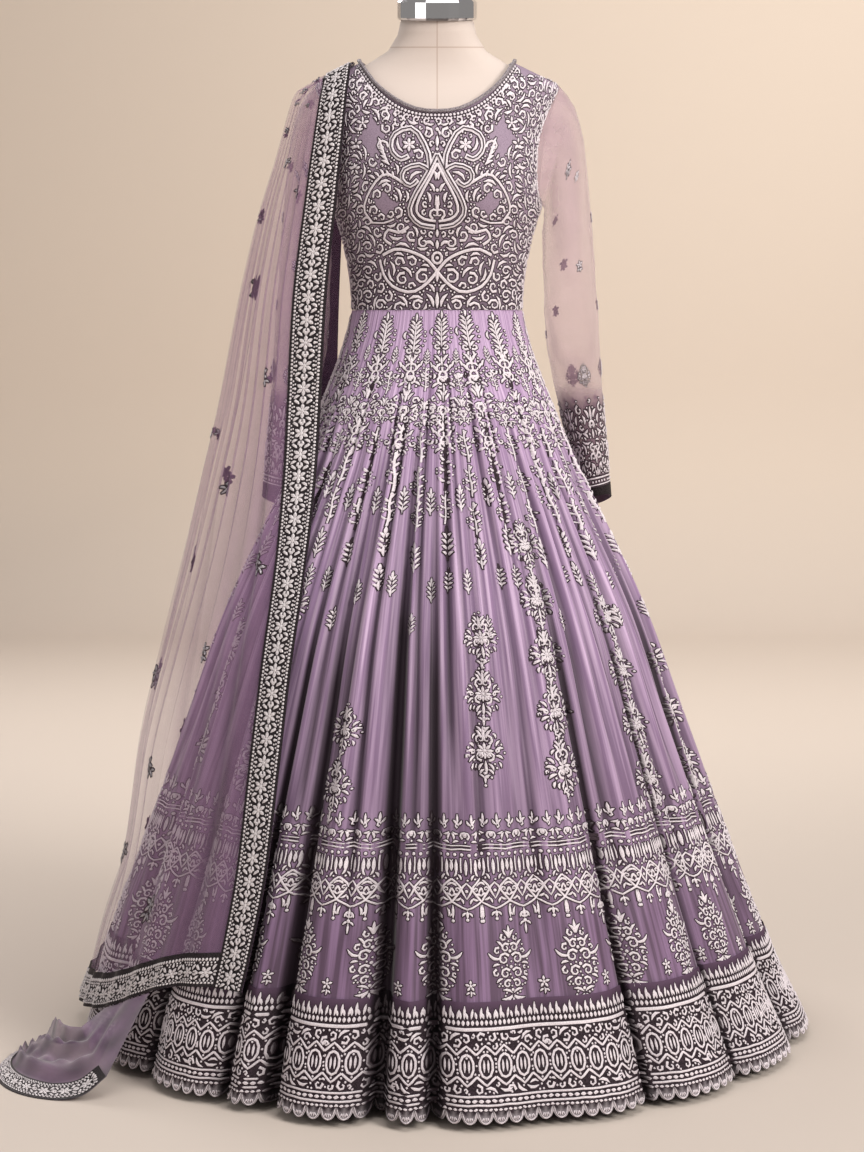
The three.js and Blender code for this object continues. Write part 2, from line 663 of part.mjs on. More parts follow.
// A stretch of the shawl: u runs from its trimmed edge to the side, v counts the rows from the shoulder down
function shawlSurface(way) {
  const edge = way < 0 ? shawlFront : shawlBack;
  const folds = way < 0 ? shawlFrontFolds : shawlBackFolds;
  const last = shawlFront.length - 1;
  return (u, v) => {
    const side = (name) => lerpRow(shawlFront, v, name);
    const start = new THREE.Vector3(...["x", "y", "z"].map((name) => lerpRow(edge, v, name)));
    const end = new THREE.Vector3(side("sideX"), side("sideY") + (way > 0 ? shawlGap + netWall : 0), side("sideZ"));
    const chord = end.clone().sub(start);
    const trim = shawlTrimWidth / chord.length();
    const rest = Math.max(u - trimShare, 0) / (1 - trimShare);
    const share = u < trimShare ? (trim * u) / trimShare : lerp(trim, 1, rest);
    const outward = new THREE.Vector3(chord.y, -chord.x, 0).normalize().multiplyScalar(way);
    const point = start.clone().addScaledVector(chord, share);
    point.addScaledVector(outward, lerpRow(edge, v, "bow") * 4 * share * (1 - share));
    const corner = 1 / (1 + (share / cornerShare) ** 3);
    const drop = lerp(1 - share, corner, Math.min(v / last, 1) ** 4);
    point.z = lerp(end.z, start.z, drop);
    if (v > seatedRow) clearOfGown(point, shawlClearance);
    const wave = side("fold") * 0.5 * (1 - Math.cos(rest * folds * Math.PI * 2));
    if (v < levelRow) return point.setZ(point.z + wave);
    const reach = Math.hypot(point.x, point.y);
    point.x *= (reach + wave) / reach;
    point.y *= (reach + wave) / reach;
    return point;
  };
}

function shawlRange(way) {
  return { u: [0, 1], v: [0, shawlFront.length - 1], closed: false, facing: -way };
}

function shawlColumns(way) {
  const folds = way < 0 ? shawlFrontFolds : shawlBackFolds;
  return [0, trimShare / 2, ...steps(folds * columnsPerPleat, trimShare, 1)];
}

const shawlRows = steps(shawlFront.length - 1, 0, shawlFront.length - 1);

function shawlGeometry(way) {
  return clothGeometry(shawlSurface(way), shawlColumns(way), shawlRows, shawlRange(way), 0, netWall);
}

function shawlEdgeTrimGeometry(way) {
  const columns = shawlColumns(way).slice(0, 3);
  return clothGeometry(shawlSurface(way), columns, shawlRows, shawlRange(way), netWall + shawlTrimGap, trimWall);
}

function shawlEndTrimGeometry(way) {
  const columns = shawlColumns(way).slice(3);
  const rows = shawlRows.slice(-2);
  return clothGeometry(shawlSurface(way), columns, rows, shawlRange(way), netWall + shawlTrimGap, trimWall);
}

// Tail of the shawl: u runs from its trimmed outer edge inwards, v counts the sections from the root
function tailSurface(u, v) {
  const front = shawlSurface(-1);
  const last = shawlFront.length - 1;
  const section = (index) => {
    if (index === 0) {
      const root = front(lerp(tailRoot.from, tailRoot.to, u), last);
      const radius = Math.hypot(root.x, root.y);
      return root.multiplyScalar((radius + 3) / radius).setZ(root.z - 1.2);
    }
    const s = tailSections[index - 1];
    const ripple = s.crest * Math.sin(u * Math.PI * tailRipples) ** 2;
    const z = lerp(s.z, s.innerZ, u ** 1.4) + (u > tailFlat ? ripple : 0);
    return new THREE.Vector3(lerp(s.x, s.innerX, u), lerp(s.y, s.innerY, u), z);
  };
  const i = Math.min(Math.floor(v), tailSections.length - 1);
  return section(i).lerp(section(i + 1), v - i);
}

const tailRange = { u: [0, 1], v: [0, tailSections.length], closed: false, facing: 1 };
const tailRows = steps(tailSections.length, 0, tailSections.length);

function onFloor(geometry) {
  const position = geometry.getAttribute("position");
  for (let i = 0; i < position.count; i++) position.setZ(i, Math.max(position.getZ(i), 0));
  return geometry;
}

function tailGeometry() {
  const columns = steps(tailColumns);
  return onFloor(clothGeometry(tailSurface, columns, tailRows, tailRange, 0, netWall));
}

function tailTrimGeometry() {
  const columns = steps(tailColumns).slice(0, tailTrimColumns + 1);
  return clothGeometry(tailSurface, columns, tailRows.slice(1), tailRange, netWall + trimGap, trimWall);
}

// Dress form: one smooth closed body from the hips to the neck, clear of the cloth, its top sloping to the front
function formGeometry() {
  const inset = clothWall + formEase;
  const power = 2 / figureExponent;
  const rings = formHeights.map((z) =>
    steps(form.sides).slice(0, form.sides).map((t) => {
      const turn = t * Math.PI * 2;
      const at = (column) => figureAt(z + form.shoulderDrop, column) - inset;
      const depth = at(Math.cos(turn) > 0 ? "front" : "back");
      const x = at("half") * Math.sign(Math.sin(turn)) * Math.abs(Math.sin(turn)) ** power;
      const y = depth * -Math.sign(Math.cos(turn)) * Math.abs(Math.cos(turn)) ** power;
      const lean = Math.max(z - neckPoint.z, 0) * form.neckLean;
      const slope = Math.max(z - form.slopeFrom, 0) * form.slopePerMm;
      return new THREE.Vector3(x, y - lean, z + y * slope);
    }),
  );
  return bodyGeometry(rings);
}

const cloth = (color, roughness) => new THREE.MeshStandardMaterial({ color, roughness, metalness: 0 });
const materials = {
  lilac: cloth(0x8d7096, 0.62),
  net: cloth(0xb79ab5, 0.7),
  border: cloth(0x776b7c, 0.6),
  shawlTrim: cloth(0x4a4247, 0.5),
  linen: cloth(0xeadccf, 0.85),
  chrome: new THREE.MeshStandardMaterial({ color: 0xc8c8ca, roughness: 0.12, metalness: 1 }),
  steel: new THREE.MeshStandardMaterial({ color: 0x3a3a3c, roughness: 0.4, metalness: 0.8 }),
};

const gown = new THREE.Group();

function add(name, geometry, material) {
  const mesh = new THREE.Mesh(geometry, material);
  mesh.name = name;
  gown.add(mesh);
  return mesh;
}

// Stand: a square plate, a pole and the form, with a metal cap on its neck
function addStand() {
  const chamfer = 40;
  const h = baseHalf;
  const corners = [
    [h - chamfer, -h], [h, chamfer - h], [h, h - chamfer], [h - chamfer, h],
    [chamfer - h, h], [-h, h - chamfer], [-h, chamfer - h], [chamfer - h, -h],
  ];
  const plate = new THREE.Shape(corners.map(([x, y]) => new THREE.Vector2(x, y)));
  const plateGeometry = new THREE.ExtrudeGeometry(plate, { depth: baseHeight, bevelEnabled: false });
  add("stand_base", plateGeometry, materials.steel);
  const poleTop = figure[0].z - seam;
  const poleLength = poleTop - baseHeight - seam;
  const poleGeometry = new THREE.CylinderGeometry(poleRadius, poleRadius, poleLength, 16);
  const pole = add("stand_pole", poleGeometry, materials.steel);
  pole.rotation.x = Math.PI / 2;
  pole.position.z = baseHeight + seam + poleLength / 2;
  add("form_body", formGeometry(), materials.linen);
  const profile = [
    [0, 0], [53, 0], [55, 3], [55, 24], [50, 30], [26, 36], [9, 38], [9, 52], [13, 58], [9, 64], [0, 66],
  ];
  const points = profile.map(([r, z]) => new THREE.Vector2(r, z));
  const cap = add("form_neck_cap", new THREE.LatheGeometry(points, neckCap.sides), materials.chrome);
  cap.rotation.x = Math.PI / 2 + neckCap.tilt;
  cap.position.set(0, neckCap.back, neckCap.bottom);
}

function addBodice() {
  for (const side of ["front", "back"]) {
    const surface = bodiceSurface(side);
    const geometry = clothGeometry(surface, bodiceTurns(side), bodiceRows, bodiceRange(side), -clothWall);
    add("bodice_" + side, geometry, materials.lilac);
  }
  add("neck_trim", neckTrimGeometry(), materials.shawlTrim);
}

function addSleeves() {
  for (const [name, arm] of [["left", 1], ["right", -1]]) {
    add("sleeve_" + name, sleeveGeometry(arm), materials.net);
    add("cuff_" + name, cuffGeometry(arm), materials.net);
    add("cuff_trim_" + name, cuffTrimGeometry(arm), materials.border);
  }
}

function addSkirt() {
  for (let i = 0; i < goreCount; i++) add("skirt_gore_" + (i + 1), goreGeometry(i), materials.lilac);
  add("hem_border", hemBorderGeometry(), materials.border);
}

function addShawl() {
  for (const [name, way] of [["front", -1], ["back", 1]]) {
    add("shawl_" + name, shawlGeometry(way), materials.net);
    add("shawl_edge_trim_" + name, shawlEdgeTrimGeometry(way), materials.shawlTrim);
    add("shawl_end_trim_" + name, shawlEndTrimGeometry(way), materials.shawlTrim);
  }
  add("shawl_tail", tailGeometry(), materials.net);
  add("shawl_tail_trim", tailTrimGeometry(), materials.shawlTrim);
}

addStand();
addBodice();
addSleeves();
addSkirt();
addShawl();

export default gown;
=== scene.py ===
import math

import bmesh
import bpy
import numpy as np
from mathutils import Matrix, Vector


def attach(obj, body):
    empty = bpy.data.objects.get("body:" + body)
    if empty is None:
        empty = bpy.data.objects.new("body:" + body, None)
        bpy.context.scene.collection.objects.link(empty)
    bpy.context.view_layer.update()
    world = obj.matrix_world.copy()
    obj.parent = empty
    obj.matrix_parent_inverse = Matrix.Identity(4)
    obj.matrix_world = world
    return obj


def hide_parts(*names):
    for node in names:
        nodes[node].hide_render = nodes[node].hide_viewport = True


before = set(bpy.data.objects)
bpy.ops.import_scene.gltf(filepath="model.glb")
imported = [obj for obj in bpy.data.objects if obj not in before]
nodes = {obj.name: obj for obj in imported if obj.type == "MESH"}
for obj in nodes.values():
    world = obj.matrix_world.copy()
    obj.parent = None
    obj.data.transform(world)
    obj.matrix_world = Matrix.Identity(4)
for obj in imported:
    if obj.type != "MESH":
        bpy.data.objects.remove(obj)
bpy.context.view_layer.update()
print("frame loaded:", len(nodes), "nodes")

mm = 0.001
seamGap = 0.0003  # between neighbouring pieces


# short tables: the first line names the columns, a row for each section
def table(columns, *rows):
    return {name: np.array([row[i] for row in rows], float) * mm for i, name in enumerate(columns.split())}


# outer surface of the fitted cloth at each height
figure = table(
    "z half front back",
    (740, 158, 106, 118),
    (800, 157, 104, 118),
    (870, 146, 99, 110),
    (930, 132, 93, 98),
    (975, 122, 89, 90),
    (1010, 118.8, 88, 87),
    (1060, 122, 94, 88),
    (1117, 134, 110, 92),
    (1158, 146, 122, 95),
    (1200, 149, 122, 99),
    (1240, 153, 112, 99),
    (1280, 162, 96, 88),
    (1304, 169, 80, 74),
    (1320, 168, 67, 63),
    (1336, 138, 58, 56),
    (1351, 107, 54, 52),
    (1366, 79, 53, 51),
    (1385, 63, 53, 50),
    (1412, 55, 52, 49),
)
figurePower = 2.3
neckPower = 2.6
armholeCut = table(
    "z cut",
    (1158, 0),
    (1168, 8),
    (1190, 12),
    (1230, 14),
    (1270, 12),
    (1300, 6),
    (1320, 0),
)
bodice = {
    "waist": 1.010,
    "underarm": 1.158,
    "tipX": 0.168,
    "tipZ": 1.320,
    "neckX": 0.107,
    "neckZ": 1.351,
    "frontDrop": 0.075,
    "backDrop": 0.024,
}
skirtShape = table(
    "z right left front back",
    (0, 531, 499, 531, 531),
    (28, 520, 492, 524, 524),
    (94, 486, 478, 498, 498),
    (172, 455, 456, 466, 466),
    (300, 405, 408, 415, 415),
    (440, 354, 356, 360, 360),
    (590, 299, 300, 300, 300),
    (730, 232, 234, 230, 232),
    (800, 197, 198, 192, 196),
    (870, 166, 167, 152, 156),
    (930, 141, 142, 118, 120),
    (975, 126, 127, 98, 98),
    (1010, 118.8, 118.8, 88, 87),
)
foldGrowth = table(
    "z pleat deep",
    (0, 0, 1000),
    (172, 0, 1000),
    (300, 3.5, 820),
    (440, 6, 620),
    (590, 7, 420),
    (730, 6, 240),
    (830, 4, 100),
    (890, 1.2, 0),
    (1010, 0, 0),
)
# deep folds: angle from the front towards the wearer's left, width in degrees, depth at the hem in mm, and
# half the width in degrees of the shut slot along the middle, which is a fifth deeper (0 for no slot)
deepFolds = [
    (-172, 4.0, 34, 0), (-150, 3.6, 26, 0.8), (-131, 4.2, 38, 1.0), (-110, 3.6, 24, 0), (-88, 3.8, 30, 0.8),
    (-67, 3.6, 26, 0), (-50, 3.8, 28, 0.7), (-33, 3.2, 30, 0.8), (-25, 3.4, 42, 1.1), (-8.8, 3.2, 46, 1.35),
    (-0.6, 2.8, 34, 1.0), (15, 4.5, 9, 0), (31.6, 3.4, 30, 0.6), (49.5, 4.0, 22, 0.5), (70, 3.6, 28, 0.8),
    (90, 4.0, 24, 0), (112, 3.8, 36, 1.0), (134, 3.6, 26, 0.7), (157, 4.2, 40, 1.0),
]
# creases laid between the deep folds: angle, upper end, lower end, width in degrees, depth in mm
creases = [
    (-176.5, 0.90, 0.30, 1.0, 8), (-167, 0.94, 0.22, 1.1, 9), (-161, 0.86, 0.40, 0.9, 6),
    (-155.5, 0.92, 0.28, 1.0, 8), (-144, 0.88, 0.24, 1.0, 9), (-138.5, 0.95, 0.36, 0.9, 7),
    (-125, 0.90, 0.20, 1.1, 9), (-118.5, 0.84, 0.42, 0.9, 6), (-104, 0.93, 0.26, 1.0, 9),
    (-98, 0.88, 0.34, 0.9, 7), (-93.5, 0.95, 0.44, 0.9, 6), (-82, 0.90, 0.22, 1.1, 9),
    (-75, 0.86, 0.38, 0.9, 6), (-61, 0.93, 0.24, 1.0, 9), (-56, 0.88, 0.40, 0.9, 7),
    (-44, 0.90, 0.26, 1.0, 8), (-38.5, 0.95, 0.34, 0.9, 7), (-29, 0.88, 0.30, 0.9, 7),
    (-21, 0.94, 0.36, 1.0, 8), (-16, 0.90, 0.22, 0.9, 10), (-12.6, 0.85, 0.45, 0.8, 6),
    (-5, 0.95, 0.26, 0.9, 10), (3.4, 0.90, 0.38, 0.8, 7), (7.4, 0.95, 0.24, 1.0, 10),
    (12.8, 0.86, 0.42, 0.9, 6), (18.6, 0.94, 0.20, 1.1, 10), (23.4, 0.88, 0.46, 0.8, 7),
    (26.8, 0.95, 0.30, 0.9, 9), (36, 0.90, 0.22, 1.0, 10), (40.8, 0.84, 0.40, 0.9, 6),
    (45, 0.94, 0.28, 1.0, 9), (54.4, 0.88, 0.20, 1.1, 9), (60, 0.93, 0.36, 0.9, 7),
    (64.8, 0.90, 0.24, 1.0, 9), (75.6, 0.86, 0.30, 1.0, 8), (80.4, 0.94, 0.42, 0.9, 6),
    (84.8, 0.90, 0.22, 1.0, 9), (96, 0.92, 0.26, 1.1, 9), (101.6, 0.86, 0.40, 0.9, 6),
    (106, 0.95, 0.32, 1.0, 8), (118, 0.90, 0.24, 1.0, 9), (123.6, 0.88, 0.38, 0.9, 7),
    (128.4, 0.94, 0.28, 0.9, 7), (140, 0.90, 0.22, 1.1, 9), (146, 0.85, 0.42, 0.9, 6),
    (150.8, 0.94, 0.30, 1.0, 8), (163, 0.92, 0.24, 1.0, 9), (170.4, 0.88, 0.34, 1.0, 8),
]
skirt = {
    "pleats": 56,
    "columns": 672,
    "rows": 78,
    "bottom": 0.026,
    "borderTop": 0.150,
    "ripples": 112,
    "crease": 0.0024,
    "rise": 0.93,  # height gained by a step up the slanted cloth
    "gores": 8,
    "pleatShade": 0.46,
    "creaseShade": 0.55,
    "lowFrom": 0.62,  # height where the darker lower colour starts to come in
}
sleeveSections = table(
    "outX outZ inX inZ deep back",
    (181, 1306, 149.5, 1150, 50, 0),
    (195, 1280, 150, 1137, 53, 1),
    (206, 1235, 148, 1118, 54, 3),
    (213, 1165, 148, 1090, 53, 7),
    (220, 1075, 150, 1040, 51, 14),
    (229, 980, 156, 960, 48, 30),
    (238, 885, 175, 875, 42, 62),
    (246, 815, 194, 805, 37, 88),
    (251, 762, 206, 752, 34, 106),
    (253, 740, 210, 730, 33, 112),
)
shawlFront = table(
    "x y z sideX sideY sideZ bow fold",
    (-113, -1.4, 1349.4, -180, -1.4, 1315.4, 0, 1.5),
    (-117, -40, 1346, -196, -8, 1308, 6, 2),
    (-119, -62, 1326, -203, -10, 1290, 10, 2.5),
    (-122, -78, 1300, -209, -10, 1268, 14, 3),
    (-127, -90, 1245, -223, -8, 1215, 20, 4),
    (-136, -95, 1160, -248, -5, 1130, 26, 6),
    (-150, -101, 1030, -273, 0, 1020, 30, 8),
    (-158, -108, 890, -301, 2, 880, 32, 9),
    (-163, -144, 790, -324, 4, 785, 36, 9),
    (-174, -205, 670, -353, 6, 665, 42, 9),
    (-190, -272, 550, -383, 8, 545, 50, 9),
    (-204, -324, 420, -415, 10, 410, 60, 8),
    (-219, -366, 290, -442, 10, 232, 66, 7),
    (-237, -396, 190, -490, 10, 72, 72, 6),
    (-246, -408, 145, -506, 10, 27, 74, 6),
)
shawlBack = table(
    "x y z bow",
    (-113, 1.4, 1349.4, 0),
    (-117, 38, 1346, 6),
    (-119, 58, 1326, 11),
    (-122, 73, 1300, 16),
    (-127, 84, 1245, 24),
    (-134, 92, 1160, 36),
    (-141, 100, 1030, 48),
    (-146, 116, 890, 64),
    (-152, 156, 790, 72),
    (-162, 216, 670, 66),
    (-172, 282, 550, 60),
    (-182, 336, 420, 62),
    (-192, 382, 290, 66),
    (-200, 414, 190, 72),
    (-205, 428, 145, 74),
)
shawl = {
    "trimWidth": 0.042,
    "trimShare": 0.12,
    "cornerShare": 0.46,
    "frontFolds": 8,
    "backFolds": 5,
    "lift": 0.008,
    "clearance": 0.005,
    "sideGap": 0.002,
    "columns": 132,
    "rows": 150,
}
tailSections = table(
    "x y z innerX innerY innerZ crest",
    (-425, -395, 30, -472, -288, 60, 4),
    (-454, -403, 8, -494, -262, 50, 8),
    (-494, -400, 0, -507, -234, 42, 12),
    (-532, -382, 0, -517, -206, 34, 14),
    (-562, -350, 0, -524, -180, 25, 12),
    (-582, -306, 0, -531, -158, 16, 9),
    (-588, -256, 0, -538, -142, 8, 5),
    (-580, -204, 0, -548, -134, 3, 2),
)
tail = {"rootFrom": 0.32, "rootTo": 0.54, "ripples": 3.5, "flat": 0.3, "crumple": 0.009}
sleeveRows = len(sleeveSections["outX"])
shawlLast = len(shawlFront["x"]) - 1
tailLast = len(tailSections["x"])


# value of a table's column at many keys, by a smooth curve through the rows
def sample(rows, key, at, column):
    keys = rows[key]
    values = rows[column]
    if keys[0] > keys[-1]:
        keys = keys[::-1]
        values = values[::-1]
    return curveThrough(keys, values, at)


def curveThrough(keys, values, at):
    last = len(keys) - 1
    before = np.maximum(np.arange(last + 1) - 1, 0)
    after = np.minimum(np.arange(last + 1) + 1, last)
    slopes = (values[after] - values[before]) / (keys[after] - keys[before])
    at = np.clip(at, keys[0], keys[-1])
    i = np.clip(np.searchsorted(keys, at, side="right") - 1, 0, last - 1)
    span = keys[i + 1] - keys[i]
    t = (at - keys[i]) / span
    h1 = 2 * t ** 3 - 3 * t ** 2 + 1
    h2 = t ** 3 - 2 * t ** 2 + t
    h3 = t ** 3 - t ** 2
    return h1 * values[i] + h2 * span * slopes[i] + (1 - h1) * values[i + 1] + h3 * span * slopes[i + 1]


def alongRows(rows, v, column):
    return curveThrough(np.arange(len(rows[column]), dtype=float), rows[column], v)


def lerp(a, b, t):
    return a + (b - a) * t


def figureDepth(x, z, side):
    share = np.minimum(np.abs(x) / sample(figure, "z", z, "half"), 1)
    return sample(figure, "z", z, side) * (1 - share ** figurePower) ** (1 / figurePower)


def armholeWidth(z):
    half = sample(figure, "z", z, "half")
    cut = np.where(z > bodice["underarm"], sample(armholeCut, "z", z, "cut"), 0)
    return np.where(z >= bodice["tipZ"], bodice["tipX"], half - cut)


ridgeZ = np.linspace(bodice["tipZ"], bodice["neckZ"], 60)
ridgeX = sample(figure, "z", ridgeZ, "half")


def neckDrop(side):
    return bodice["frontDrop"] if side == "front" else bodice["backDrop"]


def panelTop(share, drop):
    x = np.abs(share) * bodice["tipX"]
    ridge = np.interp(-x, -ridgeX, ridgeZ)
    curve = bodice["neckZ"] - drop * (1 - np.minimum(x / bodice["neckX"], 1) ** neckPower)
    return np.where(x >= bodice["neckX"], ridge, curve)


def bodicePoint(side, share, z):
    x = share * armholeWidth(z)
    sign = -1 if side == "front" else 1
    return np.stack([x, sign * (figureDepth(x, z, side) + 0.00015), z], -1)


def skirtEnvelope(angle, z):
    x = np.sin(np.radians(angle))
    y = -np.cos(np.radians(angle))
    halfX = np.where(x > 0, sample(skirtShape, "z", z, "right"), sample(skirtShape, "z", z, "left"))
    halfY = np.where(y < 0, sample(skirtShape, "z", z, "front"), sample(skirtShape, "z", z, "back"))
    power = lerp(2, figurePower, np.clip((z - 0.8) / (bodice["waist"] - 0.8), 0, 1))
    return (np.abs(x / halfX) ** power + np.abs(y / halfY) ** power) ** (-1 / power)


def deepFoldDepth(angle, z):
    depth = np.zeros(np.broadcast(angle, z).shape)
    for foldAngle, width, amount, slot in deepFolds:
        away = (angle - foldAngle + 540) % 360 - 180
        shape = np.exp(-(away / width) ** 2)
        if slot:
            shape = 0.6 * shape + 0.6 * np.exp(-(away / slot) ** 4)
        depth = np.maximum(depth, amount * mm * shape)
    return depth * sample(foldGrowth, "z", z, "deep")


# painted shade of the deep folds, from 0 to 1, darkest in the slots
def foldShade(angle, z):
    shade = np.zeros(np.broadcast(angle, z).shape)
    for foldAngle, width, amount, slot in deepFolds:
        away = (angle - foldAngle + 540) % 360 - 180
        tone = 0.010 * amount * np.exp(-(away / width) ** 2)
        if slot:
            tone = tone + 0.95 * np.exp(-(away / (1.2 * slot)) ** 6)
        shade = np.maximum(shade, tone)
    return np.clip(shade, 0, 1) * np.clip(1.9 * sample(foldGrowth, "z", z, "deep"), 0, 1)


# soft troughs of the listed creases, fading in and out along their length
def creaseDepth(angle, z):
    depth = np.zeros(np.broadcast(angle, z).shape)
    for at, top, bottom, width, amount in creases:
        away = (angle - at + 540) % 360 - 180 + 0.5 * np.sin(9 * z + at)
        fade = np.clip((top - z) / 0.10, 0, 1) * np.clip((z - bottom) / 0.10, 0, 1)
        depth = depth + amount * mm * fade * np.exp(-(away / width) ** 2)
    return depth


# small pleats, unevenly deep and slightly wandering, with a finer ripple between them
def pleatDepth(angle, z):
    a = np.radians(angle)
    grow = sample(foldGrowth, "z", z, "pleat")
    uneven = 0.8 + 0.3 * np.sin(5 * a + 1.3) + 0.2 * np.sin(11 * a + 0.4)
    wander = 0.25 * np.sin(7 * a + 3 * z) + 0.2 * np.sin(13 * a - 5 * z)
    main = grow * uneven * (0.5 - np.cos(skirt["pleats"] * a + wander)) / 1.5
    fine = np.sin(skirt["ripples"] * a + 2.2 * np.sin(9 * a + 4 * z))
    fine = skirt["crease"] * np.clip(grow / 0.006, 0.25, 1) * fine
    fadeLow = np.clip((z - skirt["borderTop"]) / 0.14, 0, 1)
    return main - 0.45 * fine * fadeLow


def skirtPoint(angle, z, lift=0.0, plain=False):
    radius = skirtEnvelope(angle, z) - deepFoldDepth(angle, z) + lift
    if not plain:
        radius = radius - pleatDepth(angle, z) - creaseDepth(angle, z)
    a = np.radians(angle)
    return np.stack([radius * np.sin(a), -radius * np.cos(a), z + 0 * a], -1)


def sleevePoint(arm, turn, v):
    t = np.radians(turn)
    middle = (bodice["tipZ"] + bodice["underarm"]) / 2
    z0 = middle + (bodice["tipZ"] - middle) * np.cos(t)
    x0 = armholeWidth(z0)
    way = np.where(np.sin(t) >= 0, -1, 1)
    depth0 = np.where(way < 0, figureDepth(x0, z0, "front"), figureDepth(x0, z0, "back"))
    depth0 = np.where(np.abs(np.sin(t)) < 1e-6, 0, depth0)
    seam = np.stack([x0 + 0.0005, way * depth0, z0], -1)
    share = (np.cos(t) + 1) / 2
    rows = np.clip(v - 1, 0, None)
    at = {name: alongRows(sleeveSections, rows, name) for name in sleeveSections}
    slant = 0.009 * np.sin(t) * np.clip(v - sleeveRows + 1, 0, 1)
    body = np.stack([
        lerp(at["inX"], at["outX"], share),
        at["back"] - at["deep"] * np.sin(t),
        lerp(at["inZ"], at["outZ"], share) + slant,
    ], -1)
    near = np.clip(v, 0, 1)[..., None]
    point = seam * (1 - near) + body * near
    point[..., 0] *= arm
    return point


def sleeveOval(z):
    top = {
        "outX": bodice["tipX"], "outZ": bodice["tipZ"], "inX": 0.146, "inZ": bodice["underarm"],
        "deep": 0.044, "back": 0,
    }
    rows = {name: np.concatenate([[top[name]], sleeveSections[name]]) for name in sleeveSections}
    rows["middleZ"] = (rows["outZ"] + rows["inZ"]) / 2
    outX = sample(rows, "outZ", z, "outX")
    inX = np.where(z > bodice["underarm"], 0.120, sample(rows, "inZ", z, "inX"))
    back = sample(rows, "middleZ", z, "back")
    return (outX + inX) / 2, back, (outX - inX) / 2, sample(rows, "middleZ", z, "deep")


def bodicePush(x, y, z, gap):
    halfX = sample(figure, "z", z, "half") + gap
    halfY = np.where(y < 0, sample(figure, "z", z, "front"), sample(figure, "z", z, "back")) + gap
    inside = np.abs(x / halfX) ** figurePower + np.abs(y / halfY) ** figurePower
    return np.maximum(inside ** (-1 / figurePower), 1)


def sleevePush(x, y, z, gap):
    cx, cy, rx, ry = sleeveOval(z)
    reach = np.hypot((x + cx) / (rx + gap), (y - cy) / (ry + gap))
    push = 1 / np.clip(reach, 1e-3, 1)
    return np.where((z > bodice["tipZ"]) | (z < 0.726), 1, push)


# moves the shawl's points out of the bodice, the right sleeve and the skirt
def clearOfGown(p, gap):
    x, y, z = p[..., 0], p[..., 1], p[..., 2]

    def blocked(height):
        return (bodicePush(x, y, height, gap) > 1) | (sleevePush(x, y, height, gap) > 1)

    raised = z.copy()
    low = (z > 1.2) & blocked(z)
    for _ in range(30):
        again = low & blocked(raised - gap) & (raised < bodice["neckZ"] + gap)
        raised = np.where(again, raised + mm, raised)
    z = np.where(low & (raised - z < 0.030), raised, z)
    push = np.where(z > bodice["waist"], np.minimum(bodicePush(x, y, z, gap), 1.3), 1)
    x, y = x * push, y * push
    cx, cy, _, _ = sleeveOval(z)
    push = sleevePush(x, y, z, gap)
    x = (x + cx) * push - cx
    y = (y - cy) * push + cy
    angle = np.degrees(np.arctan2(x, -y))
    rest = (skirtEnvelope(angle, z) + shawl["lift"]) / np.hypot(x, y)
    push = np.where(z < bodice["waist"], np.maximum(rest, 1), 1)
    return np.stack([x * push, y * push, z], -1)


def shawlPoint(way, u, v):
    edge = shawlFront if way < 0 else shawlBack
    folds = shawl["frontFolds"] if way < 0 else shawl["backFolds"]
    start = np.stack([alongRows(edge, v, name) for name in ("x", "y", "z")], -1)
    end = np.stack([alongRows(shawlFront, v, name) for name in ("sideX", "sideY", "sideZ")], -1)
    if way > 0:
        end[..., 1] += shawl["sideGap"] + 2 * 0.0014 * np.clip(1 - v, 0, 1)
    chord = end - start
    length = np.linalg.norm(chord, axis=-1)
    trim = shawl["trimWidth"] / length
    rest = np.maximum(u - shawl["trimShare"], 0) / (1 - shawl["trimShare"])
    share = np.where(u < shawl["trimShare"], trim * u / shawl["trimShare"], lerp(trim, 1, rest))
    flat = np.hypot(chord[..., 0], chord[..., 1])
    outX = chord[..., 1] / flat * way
    outY = -chord[..., 0] / flat * way
    point = start + chord * share[..., None]
    bow = alongRows(edge, v, "bow") * 4 * share * (1 - share)
    point[..., 0] += outX * bow
    point[..., 1] += outY * bow
    corner = 1 / (1 + (share / shawl["cornerShare"]) ** 3)
    drop = lerp(1 - share, corner, np.minimum(v / shawlLast, 1) ** 4)
    point[..., 2] = lerp(end[..., 2], start[..., 2], drop)
    point = np.where((v > 0.5)[..., None], clearOfGown(point, shawl["clearance"]), point)
    wave = alongRows(shawlFront, v, "fold") * 0.5 * (1 - np.cos(rest * folds * math.pi * 2))
    reach = np.hypot(point[..., 0], point[..., 1])
    onTop = np.clip(1.5 - v, 0, 0.5) * 2
    point[..., 2] += wave * onTop
    for axis in (0, 1):
        point[..., axis] *= 1 + wave * (1 - onTop) / reach
    return point


def tailPoint(u, v):
    root = shawlPoint(-1, lerp(tail["rootFrom"], tail["rootTo"], u), np.full(np.shape(u), float(shawlLast)))
    reach = np.hypot(root[..., 0], root[..., 1])[..., None]
    root = root * np.where(np.arange(3) < 2, 1 + 0.003 / reach, 1)
    root[..., 2] -= 0.0012
    rows = np.clip(v - 1, 0, None)
    at = {name: alongRows(tailSections, rows, name) for name in tailSections}
    raised = np.clip((u - tail["flat"]) / 0.05, 0, 1)
    ripple = at["crest"] * np.sin(u * math.pi * tail["ripples"]) ** 2 * raised
    body = np.stack([
        lerp(at["x"], at["innerX"], u),
        lerp(at["y"], at["innerY"], u),
        lerp(at["z"], at["innerZ"], u ** 1.4) + ripple,
    ], -1)
    near = np.clip(v, 0, 1)[..., None]
    point = root * (1 - near) + body * near
    point[..., 2] = np.maximum(point[..., 2], 0.0004)
    return point


